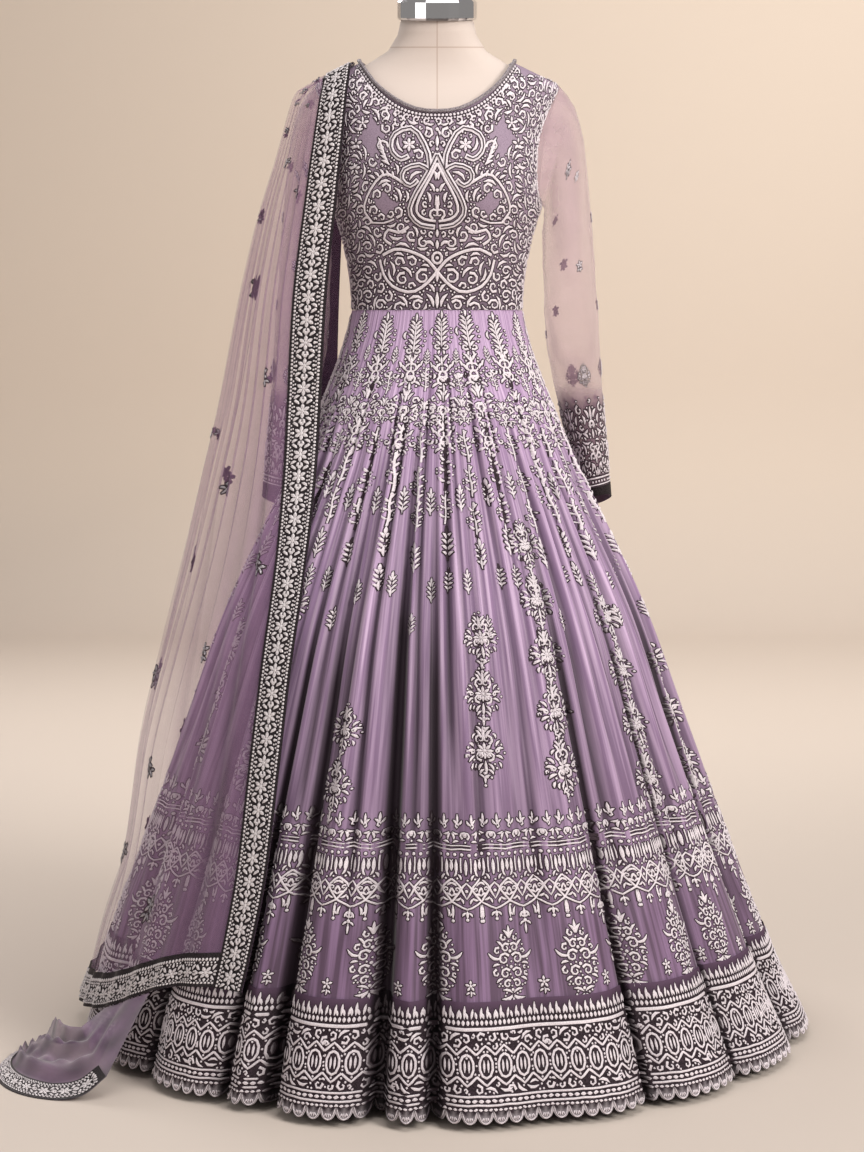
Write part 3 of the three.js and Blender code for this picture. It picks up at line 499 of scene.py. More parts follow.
# outward normals of a surface function, by its own small steps
def normalsOf(surface, u, v, du, dv):
    across = surface(u + du, v) - surface(u - du, v)
    along = surface(u, v + dv) - surface(u, v - dv)
    n = np.cross(across, along)
    return n / np.maximum(np.linalg.norm(n, axis=-1, keepdims=True), 1e-12)


# points and outward normals of a surface on a regular grid
def surfaceSamples(surface, columns, rows, outward):
    u, v = np.meshgrid(np.linspace(0, 1, columns + 1), np.linspace(0, 1, rows + 1))
    points = surface(u, v)
    normals = np.cross(np.gradient(points, axis=1), np.gradient(points, axis=0)) * outward
    normals /= np.maximum(np.linalg.norm(normals, axis=-1, keepdims=True), 1e-12)
    return points, normals


# place on a sampled surface, lifted along its normal
def onSurface(samples, u, v, lift):
    rows, columns = samples[0].shape[0] - 1, samples[0].shape[1] - 1
    across = np.clip(u, 0, 1) * columns
    along = np.clip(v, 0, 1) * rows
    i = np.minimum(across.astype(int), columns - 1)
    j = np.minimum(along.astype(int), rows - 1)
    s = (across - i)[..., None]
    t = (along - j)[..., None]

    def mixed(grid):
        low = grid[j, i] * (1 - s) + grid[j, i + 1] * s
        high = grid[j + 1, i] * (1 - s) + grid[j + 1, i + 1] * s
        return low * (1 - t) + high * t

    return mixed(samples[0]) + mixed(samples[1]) * np.asarray(lift)[..., None]


def addObject(name, data):
    piece = bpy.data.objects.new(name, data)
    bpy.context.scene.collection.objects.link(piece)
    return piece


def meshFrom(bm, name):
    mesh = bpy.data.meshes.new(name)
    bm.to_mesh(mesh)
    bm.free()
    return mesh


# joins vertices that lie on each other, all of them or only those along open edges
def weld(mesh, openOnly):
    bm = bmesh.new()
    bm.from_mesh(mesh)
    near = [vert for vert in bm.verts if vert.is_boundary or not openOnly]
    bmesh.ops.remove_doubles(bm, verts=near, dist=1e-5)
    bm.to_mesh(mesh)
    bm.free()


# a grid moved onto a surface's samples, with its own UV map
def gridPiece(name, samples, closed=False, flip=False):
    rows, columns = samples[0].shape[0] - 1, samples[0].shape[1] - 1
    bm = bmesh.new()
    bm.loops.layers.uv.new("cloth")
    bmesh.ops.create_grid(bm, x_segments=columns, y_segments=rows, size=0.5, calc_uvs=True)
    if flip:
        bmesh.ops.reverse_faces(bm, faces=bm.faces[:])
    mesh = meshFrom(bm, name)
    flat = np.empty(len(mesh.vertices) * 3)
    mesh.vertices.foreach_get("co", flat)
    flat = flat.reshape(-1, 3)
    i = np.rint((flat[:, 0] + 0.5) * columns).astype(int)
    j = np.rint((flat[:, 1] + 0.5) * rows).astype(int)
    mesh.vertices.foreach_set("co", samples[0][j, i].ravel())
    if closed:
        weld(mesh, openOnly=True)
    mesh.shade_smooth()
    mesh.update()
    return addObject(name, mesh)


def finish(piece, material, slot, *replaced):
    piece.data.materials.clear()
    piece.data.materials.append(material)
    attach(piece, "root")
    if replaced:
        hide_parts(*replaced)
    return piece


# stores one number for each vertex, which a material can read
def setAttribute(piece, name, values):
    layer = piece.data.attributes.new(name, "FLOAT", "POINT")
    layer.data.foreach_set("value", np.asarray(values, dtype=np.float32))


def coordinates(piece):
    flat = np.empty(len(piece.data.vertices) * 3)
    piece.data.vertices.foreach_get("co", flat)
    return flat.reshape(-1, 3)


# angle of points round the gown, from the front towards the wearer's left
def angleOf(points):
    return np.degrees(np.arctan2(points[:, 0], -points[:, 1]))


# materials


def setInputs(node, inputs):
    for key, value in inputs.items():
        node.inputs[key.replace("_", " ")].default_value = value


def startMaterial(name, colour, roughness, **inputs):
    material = bpy.data.materials.new(name)
    material.use_nodes = True
    tree = material.node_tree
    shader = tree.nodes["Principled BSDF"]
    setInputs(shader, {"Base Color": (*colour, 1), "Roughness": roughness, **inputs})
    return material, tree, shader


def addNode(tree, kind, settings=None, **inputs):
    node = tree.nodes.new(kind)
    for key, value in (settings or {}).items():
        setattr(node, key, value)
    setInputs(node, inputs)
    return node


# mix of two colours, each a tuple or another node's output
def mixColour(tree, factor, a, b):
    node = addNode(tree, "ShaderNodeMix", {"data_type": "RGBA"})
    tree.links.new(factor, node.inputs[0])
    for socket, value in ((node.inputs[6], a), (node.inputs[7], b)):
        if isinstance(value, tuple):
            socket.default_value = (*value, 1)
        else:
            tree.links.new(value, socket)
    return node.outputs[2]


def mapRange(tree, value, **ends):
    node = addNode(tree, "ShaderNodeMapRange", **ends)
    tree.links.new(value, node.inputs["Value"])
    return node.outputs["Result"]


def ramp(tree, value, low, high):
    return mapRange(tree, value, From_Min=low, From_Max=high)


def readAttribute(tree, name):
    return addNode(tree, "ShaderNodeAttribute", {"attribute_name": name}).outputs["Fac"]


def objectPlace(tree):
    return addNode(tree, "ShaderNodeTexCoord").outputs["Object"]


def addNoise(tree, place, scale, detail):
    noise = addNode(tree, "ShaderNodeTexNoise", Scale=scale, Detail=detail)
    tree.links.new(place, noise.inputs["Vector"])
    return noise.outputs["Fac"]


def addBump(tree, shader, height, strength, distance):
    bump = addNode(tree, "ShaderNodeBump", Strength=strength, Distance=distance)
    tree.links.new(height, bump.inputs["Height"])
    tree.links.new(bump.outputs["Normal"], shader.inputs["Normal"])


# fine weave and slubs, as bump
def weaveBump(tree, shader, scale, strength):
    noise = addNoise(tree, objectPlace(tree), scale, 3.0)
    addBump(tree, shader, noise, strength, 0.0004)
    return noise


clothColours = {
    "lilac": (0.36, 0.232, 0.395),
    "lilacPale": (0.64, 0.465, 0.66),
    "lilacMid": (0.25, 0.153, 0.265),
    "lilacLow": (0.105, 0.060, 0.104),
    # painted shade for the skirt's folds, slots, pleats and creases
    "lilacInShade": (0.014, 0.006, 0.011),
    "bodice": (0.25, 0.18, 0.245),
    "bodicePale": (0.36, 0.27, 0.355),
    "bodiceDense": (0.100, 0.066, 0.098),
    "borderGround": (0.013, 0.008, 0.010),
    "borderPale": (0.050, 0.032, 0.043),
    "lace": (0.56, 0.50, 0.53),
    "net": (0.57, 0.38, 0.47),
    "netDeep": (0.085, 0.046, 0.070),
    "shawlNet": (0.40, 0.22, 0.37),
    "shawlDeep": (0.095, 0.050, 0.105),
    "tailNet": (0.20, 0.115, 0.205),
    "tailDeep": (0.045, 0.022, 0.045),
    "trimGround": (0.006, 0.004, 0.005),
    "trimPale": (0.035, 0.026, 0.03),
    "thread": (0.92, 0.86, 0.89),
    "threadLow": (0.68, 0.60, 0.65),
    "darkThread": (0.012, 0.006, 0.009),
    "darkThreadPale": (0.045, 0.026, 0.036),
    "threadInShade": (0.020, 0.010, 0.015),
    "linen": (0.63, 0.53, 0.475),
    "linenPale": (0.71, 0.615, 0.56),
    "linenSeam": (0.50, 0.38, 0.32),
}


def makeSkirtCloth():
    material, tree, shader = startMaterial(
        "pleatedNet", clothColours["lilac"], 0.62, Sheen_Weight=0.3, Sheen_Roughness=0.4,
        Specular_IOR_Level=0.3)
    uv = addNode(tree, "ShaderNodeUVMap", {"uv_map": "cloth"})
    stretch = addNode(tree, "ShaderNodeMapping", Scale=(380, 4, 1))
    tree.links.new(uv.outputs["UV"], stretch.inputs["Vector"])
    streak = addNoise(tree, stretch.outputs["Vector"], 1.0, 3.0)
    streaks = ramp(tree, streak, 0.41, 0.62)
    upper = mixColour(tree, streaks, clothColours["lilac"], clothColours["lilacPale"])
    lower = mixColour(tree, streaks, clothColours["lilacLow"], clothColours["lilacMid"])
    lit = mixColour(tree, readAttribute(tree, "low"), upper, lower)
    # painted shade: the cloth darkens in its deep folds, slots, pleats and creases
    shade = mixColour(tree, readAttribute(tree, "valleyShade"), lit, clothColours["lilacInShade"])
    tree.links.new(shade, shader.inputs["Base Color"])
    addBump(tree, shader, streak, 0.35, 0.0012)
    return material


# a woven ground of two tones, with other tones laid over it where its attributes say
def makeGround(name, colour, other, roughness, gloss, overlays=()):
    material, tree, shader = startMaterial(name, colour, roughness, Specular_IOR_Level=gloss)
    tone = mixColour(tree, ramp(tree, weaveBump(tree, shader, 700.0, 0.5), 0.4, 0.62), colour, other)
    for attribute, over in overlays:
        tone = mixColour(tree, readAttribute(tree, attribute), tone, over)
    tree.links.new(tone, shader.inputs["Base Color"])
    return material


def makeBodiceCloth():
    material, tree, shader = startMaterial("bodiceCloth", clothColours["bodice"], 0.7)
    noise = weaveBump(tree, shader, 900.0, 0.4)
    tone = mixColour(tree, ramp(tree, noise, 0.35, 0.65), clothColours["bodice"], clothColours["bodicePale"])
    tone = mixColour(tree, readAttribute(tree, "dense"), tone, clothColours["bodiceDense"])
    tree.links.new(tone, shader.inputs["Base Color"])
    return material


# see-through net, denser and darker where it lies in folds, and darker with painted shade where the fold
# attribute carries it, as on the sleeves' inner half
def makeNet(name, colour, deep, cover, foldedCover):
    material, tree, shader = startMaterial(name, colour, 0.6, Sheen_Weight=0.4, Specular_IOR_Level=0.25)
    fold = readAttribute(tree, "fold")
    tree.links.new(mapRange(tree, fold, To_Min=cover, To_Max=foldedCover), shader.inputs["Alpha"])
    noise = addNoise(tree, objectPlace(tree), 60.0, 2.0)
    lighter = tuple(min(1, c * 1.18) for c in colour)
    tone = mixColour(tree, ramp(tree, noise, 0.3, 0.7), colour, lighter)
    tree.links.new(mixColour(tree, fold, tone, deep), shader.inputs["Base Color"])
    return material


# wrapped thread: fine ridges and small changes of tone, with painted shade inside deep folds
def makeThread(name, colour, other, roughness, metallic):
    material, tree, shader = startMaterial(
        name, colour, roughness, Metallic=metallic, Specular_IOR_Level=0.3)
    grain = addNode(tree, "ShaderNodeTexVoronoi", Scale=650.0)
    tree.links.new(objectPlace(tree), grain.inputs["Vector"])
    tone = mixColour(tree, ramp(tree, grain.outputs["Distance"], 0.1, 0.75), colour, other)
    tone = mixColour(tree, readAttribute(tree, "shade"), tone, clothColours["threadInShade"])
    tree.links.new(tone, shader.inputs["Base Color"])
    addBump(tree, shader, grain.outputs["Distance"], 0.6, 0.0005)
    return material


# one step of arithmetic on numbers and other nodes' outputs
def calculate(tree, operation, *values):
    node = addNode(tree, "ShaderNodeMath", {"operation": operation})
    for socket, value in zip(node.inputs, values):
        if isinstance(value, float):
            socket.default_value = value
        else:
            tree.links.new(value, socket)
    return node.outputs[0]


# linen with a seam down the middle of the front and back, and one round the neck
def makeLinen():
    material, tree, shader = startMaterial("linenCover", clothColours["linen"], 0.85)
    place = objectPlace(tree)
    waves = []
    for direction in ("X", "Z"):
        wave = addNode(tree, "ShaderNodeTexWave", {"bands_direction": direction}, Scale=420.0, Distortion=2.0)
        tree.links.new(place, wave.inputs["Vector"])
        waves.append(wave.outputs["Fac"])
    cross = calculate(tree, "MULTIPLY", *waves)
    addBump(tree, shader, cross, 0.25, 0.0004)
    weave = mixColour(tree, cross, clothColours["linen"], clothColours["linenPale"])
    seams = []
    for normal, height in (((1, 0, 0), 0.0), ((0, -0.10, 1), 1.372)):
        along = addNode(tree, "ShaderNodeVectorMath", {"operation": "DOT_PRODUCT"})
        tree.links.new(place, along.inputs[0])
        along.inputs[1].default_value = normal
        away = calculate(tree, "ABSOLUTE", calculate(tree, "SUBTRACT", along.outputs["Value"], height))
        seams.append(ramp(tree, away, 0.0011, 0.0004))
    tone = mixColour(tree, calculate(tree, "MAXIMUM", *seams), weave, clothColours["linenSeam"])
    tree.links.new(tone, shader.inputs["Base Color"])
    return material


def makeMetal(name, colour, roughness):
    material, tree, shader = startMaterial(name, colour, roughness, Metallic=1.0)
    noise = addNoise(tree, objectPlace(tree), 35.0, 4.0)
    rough = mapRange(tree, noise, To_Min=roughness * 0.7, To_Max=roughness * 1.4)
    tree.links.new(rough, shader.inputs["Roughness"])
    return material


# the border's upper fringe, its lacy lower edge, and painted shade in the deep folds
borderOverlays = (
    ("fringe", clothColours["lilacLow"]),
    ("lace", clothColours["lace"]),
    ("valleyShade", clothColours["trimGround"]),
)
finishes = {
    "skirt": makeSkirtCloth(),
    "bodice": makeBodiceCloth(),
    "sleeve": makeNet("sleeveNet", clothColours["net"], clothColours["netDeep"], 0.25, 0.95),
    "shawl": makeNet("shawlNet", clothColours["shawlNet"], clothColours["shawlDeep"], 0.16, 0.80),
    "tail": makeNet("tailNet", clothColours["tailNet"], clothColours["tailDeep"], 0.70, 0.97),
    "border": makeGround(
        "borderGround", clothColours["borderGround"], clothColours["borderPale"], 0.7, 0.15, borderOverlays),
    "trim": makeGround("trimGround", clothColours["trimGround"], clothColours["trimPale"], 0.55, 0.2),
    "thread": makeThread("paleThread", clothColours["thread"], clothColours["threadLow"], 0.5, 0.0),
    "dark": makeThread("darkThread", clothColours["darkThread"], clothColours["darkThreadPale"], 0.75, 0.0),
    "bright": makeThread("beadSilver", (0.90, 0.85, 0.86), (0.56, 0.51, 0.53), 0.38, 0.15),
    "cord": makeThread("neckCord", (0.055, 0.036, 0.044), (0.36, 0.32, 0.34), 0.5, 0.0),
    "silver": makeThread("silverBeads", (0.62, 0.58, 0.62), (0.30, 0.27, 0.30), 0.32, 0.6),
    "linen": makeLinen(),
    "chrome": makeMetal("polishedChrome", (0.80, 0.80, 0.82), 0.10),
    "steel": makeMetal("brushedSteel", (0.50, 0.50, 0.52), 0.3),
}
print("materials made")


# the pleated skirt, one shell for its eight gores
def skirtFace(u, v):
    return skirtPoint(lerp(-180, 180, u), lerp(skirt["bottom"], bodice["waist"] - seamGap, v))


samples = {"skirt": surfaceSamples(skirtFace, skirt["columns"], skirt["rows"], 1)}


def makeSkirt():
    piece = gridPiece("skirtCloth", samples["skirt"], closed=True)
    points = coordinates(piece)
    angle = angleOf(points)
    # painted shade in the deep folds and their slots, in the small pleats and in the creases
    deep = foldShade(angle, points[:, 2])
    small = np.clip(pleatDepth(angle, points[:, 2]) / 0.010, 0, 1)
    crease = np.clip(creaseDepth(angle, points[:, 2]) / 0.009, 0, 1)
    shade = deep + skirt["pleatShade"] * small + skirt["creaseShade"] * crease
    setAttribute(piece, "valleyShade", np.clip(shade, 0, 0.96))
    setAttribute(piece, "low", np.clip((skirt["lowFrom"] - points[:, 2]) / 0.40, 0, 1))
    gores = ["skirt_gore_%d" % (i + 1) for i in range(skirt["gores"])]
    return finish(piece, finishes["skirt"], "skirt_cloth", *gores)


border = {
    "top": 0.150,
    "clearance": 0.010,
    "scallop": 0.009,
    "scallops": 168,
    "firstCusp": -22.5,
    "lift": 0.0021,
    "columns": 1344,
    "rows": 13,
    "cells": 66,
    "cellWidth": 0.048,
    "stitchFrom": 0.0215,  # height where the lacy edge ends and the stitched ground begins
    "fringeFrom": 0.136,
}
borderRadius = border["cellWidth"] * border["cells"] / (2 * math.pi)


# lower edge of the border at an angle: rounded scallops between raised cusps
def borderEdge(angle):
    share = ((angle - border["firstCusp"]) / 360 * border["scallops"]) % 1
    return border["clearance"] + border["scallop"] * (1 - np.sin(share * math.pi) ** 0.6)


def borderFace(u, v):
    angle = lerp(-180, 180, u)
    return skirtPoint(angle, lerp(borderEdge(angle), border["top"], v), lift=border["lift"])


samples["border"] = surfaceSamples(borderFace, border["columns"], border["rows"], 1)


def makeBorder():
    piece = gridPiece("hemBorder", samples["border"], closed=True)
    points = coordinates(piece)
    angle = angleOf(points)
    setAttribute(piece, "lace", np.clip((border["stitchFrom"] - points[:, 2]) / 0.002, 0, 1))
    setAttribute(piece, "fringe", np.clip((points[:, 2] - border["fringeFrom"]) / 0.008, 0, 1))
    # painted shade in the deep folds and their slots
    setAttribute(piece, "valleyShade", np.clip(foldShade(angle, points[:, 2]), 0, 0.95))
    return finish(piece, finishes["border"], "embroidered_border", "hem_border")


def bodiceFace(side):
    def face(u, v):
        share = np.sin(np.radians(lerp(-90, 90, u)))
        return bodicePoint(side, share, lerp(bodice["waist"] + seamGap, panelTop(share, neckDrop(side)), v))

    return face


for side, outward in (("front", 1), ("back", -1)):
    samples["bodice" + side] = surfaceSamples(bodiceFace(side), 96, 66, outward)


# the ground is darker low down and round the drop in the middle
def makeBodice(side):
    piece = gridPiece("bodiceCloth" + side.capitalize(), samples["bodice" + side], flip=side == "back")
    points = coordinates(piece)
    low = np.clip((1.105 - points[:, 2]) / 0.05, 0, 1)
    heart = np.exp(-((points[:, 0] / 0.045) ** 2 + ((points[:, 2] - 1.15) / 0.06) ** 2))
    setAttribute(piece, "dense", np.clip(0.75 * low + 0.6 * heart, 0, 0.8))
    return finish(piece, finishes["bodice"], "bodice_cloth", "bodice_" + side)


# soft wrinkles round a sleeve: how far down, how strong
sleeveWrinkles = [
    (1.7, 0.0007), (2.9, 0.0006), (4.5, 0.0010), (5.2, 0.0013), (5.9, 0.0009), (6.8, 0.0006),
]


def sleeveFace(arm):
    def face(u, v):
        turn = 360 * u
        row = sleeveRows * (1 - v)
        fade = np.clip(row - 0.5, 0, 1) * np.clip(sleeveRows - 1 - row, 0, 1)
        bulge = 0.0007 * np.sin(np.radians(turn) * 5 + 1.5 * row) * fade
        for place, strength in sleeveWrinkles:
            tilt = place + 0.25 * np.sin(np.radians(turn) + place * 2)
            bulge = bulge + strength * np.exp(-((row - tilt) / 0.16) ** 2)
        normal = normalsOf(lambda a, b: sleevePoint(arm, a, b), turn, row, 0.5, 0.02) * arm
        return sleevePoint(arm, turn, row) + normal * bulge[..., None]

    return face


for name, arm in (("left", 1), ("right", -1)):
    samples["sleeve" + name] = surfaceSamples(sleeveFace(arm), 60, 90, -arm)


# the net is darker at the cuff, and a little at the shoulder and along its folds; its inner half, towards the
# body, gets painted shade
def makeSleeve(name, arm):
    piece = gridPiece("sleeveNet" + name.capitalize(), samples["sleeve" + name], closed=True, flip=arm > 0)
    points = coordinates(piece)
    cuff = np.clip((0.905 - points[:, 2]) / 0.03, 0, 1)
    streak = np.sin(points[:, 1] * 190 + 9 * points[:, 2]) + np.sin(points[:, 1] * 83 - 6 * points[:, 2])
    shoulder = np.clip((points[:, 2] - 1.235) / 0.08, 0, 1)
    # painted shade on the inner half towards the body, with streaks along the folds
    shaded = np.clip(0.10 * streak + 1.6 * (0.218 - np.abs(points[:, 0])), 0, 0.30)
    setAttribute(piece, "fold", np.clip(shaded + 0.16 * shoulder + 0.70 * cuff, 0, 0.85))
    return finish(piece, finishes["sleeve"], "sleeve_net", "sleeve_" + name, "cuff_" + name)


def shawlFace(way):
    def face(u, v):
        return shawlPoint(way, u, (1 - v) * shawlLast)

    return face


for name, way in (("front", -1), ("back", 1)):
    samples["shawl" + name] = surfaceSamples(shawlFace(way), shawl["columns"], shawl["rows"], way)


# the net is darker on the crests of its folds and where it gathers beside the trim
def makeShawlSheet(name, way):
    piece = gridPiece("shawlNet" + name.capitalize(), samples["shawl" + name], flip=way < 0)
    folds = shawl["frontFolds"] if way < 0 else shawl["backFolds"]
    uv = np.empty(len(piece.data.loops) * 2)
    piece.data.uv_layers["cloth"].data.foreach_get("uv", uv)
    corners = np.empty(len(piece.data.loops), dtype=int)
    piece.data.loops.foreach_get("vertex_index", corners)
    u = np.zeros(len(piece.data.vertices))
    u[corners] = uv.reshape(-1, 2)[:, 0]
    rest = np.maximum(u - shawl["trimShare"], 0) / (1 - shawl["trimShare"])
    ridge = (0.5 + 0.5 * np.cos(rest * folds * math.pi * 2)) ** 2
    uneven = 0.45 + 0.35 * np.sin(rest * 11 + 1) + 0.2 * np.sin(rest * 23)
    lower = np.clip(1 - uv.reshape(-1, 2)[:, 1], 0, 1)
    down = np.zeros(len(u))
    down[corners] = lower
    gathered = 0.55 * np.clip(1 - rest * 1.6, 0, 1) * np.clip(1.5 * down, 0, 1)
    setAttribute(piece, "fold", np.clip(0.30 * ridge * uneven + gathered, 0, 0.75))
    return finish(piece, finishes["shawl"], "shawl_net", "shawl_" + name)


def tailFace(u, v):
    point = tailPoint(u, (1 - v) * tailLast)
    crumple = (0.5 + 0.5 * np.sin(31 * u + 6 * v)) * (0.4 + 0.6 * np.sin(21 * v - 11 * u) ** 2)
    fade = np.clip((u - 0.32) / 0.1, 0, 1) * np.clip((1 - v) / 0.3, 0, 1)
    point[..., 2] += tail["crumple"] * crumple * fade
    return point


samples["tail"] = surfaceSamples(tailFace, 40, 96, -1)


def makeTail():
    piece = gridPiece("shawlNetTail", samples["tail"], flip=True)
    points = coordinates(piece)
    streak = np.sin(points[:, 1] * 140 + 60 * points[:, 0]) * np.sin(points[:, 0] * 70)
    setAttribute(piece, "fold", np.clip(0.45 + 0.45 * streak, 0, 1))
    return finish(piece, finishes["tail"], "shawl_net", "shawl_tail")


# the form's cover, with its facets joined so that it shades smooth
def makeForm():
    mesh = nodes["form_body"].data.copy()
    weld(mesh, openOnly=False)
    mesh.shade_smooth()
    mesh.set_sharp_from_angle(angle=math.radians(50))
    return finish(addObject("formCover", mesh), finishes["linen"], "linen", "form_body")


makeForm()
makeSkirt()
makeBorder()
for side in ("front", "back"):
    makeBodice(side)
for name, arm in (("left", 1), ("right", -1)):
    makeSleeve(name, arm)
for name, way in (("front", -1), ("back", 1)):
    makeShawlSheet(name, way)
makeTail()
for name, finishName in (
    ("form_neck_cap", "chrome"), ("stand_pole", "steel"), ("stand_base", "steel"),
    ("cuff_trim_left", "trim"), ("cuff_trim_right", "trim"), ("neck_trim", "cord"),
    ("shawl_edge_trim_front", "trim"), ("shawl_end_trim_front", "trim"), ("shawl_edge_trim_back", "trim"),
    ("shawl_end_trim_back", "trim"), ("shawl_tail_trim", "trim"),
):
    mesh = nodes[name].data
    mesh.materials.clear()
    mesh.materials.append(finishes[finishName])
print("cloth made")


# embroidery: strokes drawn in a plane in millimetres, baked once, then repeated on the cloth


def smoothPath(points, count):
    points = np.array(points, float)
    keys = np.arange(len(points), dtype=float)
    at = np.linspace(0, len(points) - 1, count + 1)
    return np.stack([curveThrough(keys, points[:, axis], at) for axis in (0, 1)], -1)


def strokeWidths(count, width, shape):
    t = np.linspace(0, 1, count + 1)
    if shape == "leaf":
        return width * (0.2 + 0.8 * np.sin(np.pi * t) ** 0.8)
    if shape == "tail":
        return width * (1 - 0.5 * t)
    return np.full(count + 1, width)


def line(points, width=3.2, count=6):
    return smoothPath(points, count), strokeWidths(count, width, "stem")


def leaf(x, y, turn, length, width=4.2, bend=0.14, count=3):
    t = np.linspace(0, 1, count + 1)
    a = math.radians(turn)
    along = length * t
    side = bend * length * np.sin(np.pi * t)
    path = np.stack([
        x + along * math.cos(a) - side * math.sin(a),
        y + along * math.sin(a) + side * math.cos(a),
    ], -1)
    return path, strokeWidths(count, width, "leaf")


# spiral that sets off from a point in a direction and winds to the left (way 1) or right (way -1)
def curl(x, y, turn, size, way=1, laps=1.1, width=3.4, count=8):
    t = np.linspace(0, 1, count + 1)
    side = math.radians(turn) + way * math.pi / 2
    phase = side + math.pi + way * laps * 2 * math.pi * t
    radius = size * (1 - 0.72 * t)
    path = np.stack([
        x + size * math.cos(side) + radius * np.cos(phase),
        y + size * math.sin(side) + radius * np.sin(phase),
    ], -1)
    return path, strokeWidths(count, width, "tail")


def ring(x, y, wide, high, width=3.0, count=10):
    phase = np.linspace(0, 2 * np.pi, count + 1)
    path = np.stack([x + wide * np.sin(phase), y + high * np.cos(phase)], -1)
    return path, strokeWidths(count, width, "stem")


def bead(x, y, radius):
    return None, (x, y, radius)


def petals(x, y, number, length, width=4.2, start=90, spread=360):
    step = spread / number if spread == 360 else spread / (number - 1)
    strokes = []
    for k in range(number):
        turn = start + k * step
        a = math.radians(turn)
        strokes.append(leaf(x + 1.8 * math.cos(a), y + 1.8 * math.sin(a), turn, length, width, 0))
    return strokes


def mirrored(strokes):
    both = list(strokes)
    for path, wide in strokes:
        if path is None:
            both.append((None, (-wide[0], wide[1], wide[2])))
        else:
            both.append((path * (-1, 1), wide))
    return both


def moved(strokes, x, y, size=1.0):
    placed = []
    for path, wide in strokes:
        if path is None:
            placed.append((None, (wide[0] * size + x, wide[1] * size + y, wide[2] * size)))
        else:
            placed.append((path * size + (x, y), wide * size))
    return placed


# pale raised strips, each over a wider dark one
def bakeMotif(strokes, margin=1.2, height=1.3, base=0.55):
    bm = bmesh.new()
    for path, wide in strokes:
        if path is None:
            x, y, radius = wide
            cones = ((1, radius + margin, 0.15, base), (0, radius, base, base + height + 0.5))
            for layer, grown, low, top in cones:
                made = bmesh.ops.create_cone(bm, segments=6, radius1=grown, radius2=0, depth=1)["verts"]
                for vert in made:
                    isTop = vert.co.z > 0
                    vert.co = ((vert.co.x + x) * mm, (vert.co.y + y) * mm, (top if isTop else low) * mm)
                for face in {f for v in made for f in v.link_faces}:
                    face.material_index = layer
            continue
        steps = len(path) - 1
        along = np.gradient(path, axis=0)
        along /= np.maximum(np.linalg.norm(along, axis=1, keepdims=True), 1e-9)
        normal = np.stack([-along[:, 1], along[:, 0]], -1)
        layers = [(1, 1, margin, 0.4), (0, 2, 0, base)]
        if wide.max() > 5.5:
            layers.append((1, 1, -wide.max() / 2 + 0.8, base + height + 0.3))
        for layer, across, margins, level in layers:
            grown = np.maximum(np.asarray(wide) / 2 + margins, 0.3)
            made = bmesh.ops.create_grid(bm, x_segments=steps, y_segments=across, size=0.5)["verts"]
            for vert in made:
                i = round((vert.co.x + 0.5) * steps)
                side = vert.co.y * 2
                spot = path[i] + normal[i] * grown[i] * side
                if layer:
                    reach = margins if i == steps else -margins if i == 0 else 0
                    spot = spot + along[i] * reach * 0.8
                    lift = level
                else:
                    lift = level + height * (1 - abs(side)) * (0.25 if i in (0, steps) else 1)
                vert.co = (spot[0] * mm, spot[1] * mm, lift * mm)
            for face in {f for v in made for f in v.link_faces}:
                face.material_index = layer
    mesh = meshFrom(bm, "motif")
    points = np.empty(len(mesh.vertices) * 3)
    mesh.vertices.foreach_get("co", points)
    read = {}
    for key, owner, field in (
        ("corners", mesh.loops, "vertex_index"),
        ("starts", mesh.polygons, "loop_start"),
        ("layers", mesh.polygons, "material_index"),
    ):
        read[key] = np.empty(len(owner), dtype=np.int32)
        owner.foreach_get(field, read[key])
    bpy.data.meshes.remove(mesh)
    return {"points": points.reshape(-1, 3), **read}


# copies of a motif on a surface; each anchor gives its place, and may give a size and a turn in degrees
def copiesOn(surface, spot, motif, anchors):
    anchors = np.array([tuple(a) + (1.0, 0.0)[len(a) - 2:] for a in anchors], float)
    x, y, h = motif["points"].T
    size = anchors[:, 2:3]
    turn = np.radians(anchors[:, 3:4])
    across = (x * np.cos(turn) - y * np.sin(turn)) * size
    up = (x * np.sin(turn) + y * np.cos(turn)) * size
    u, v = spot(anchors[:, 0:1], anchors[:, 1:2], across, up)
    return motif, onSurface(samples[surface], u, v, np.broadcast_to(h, u.shape))


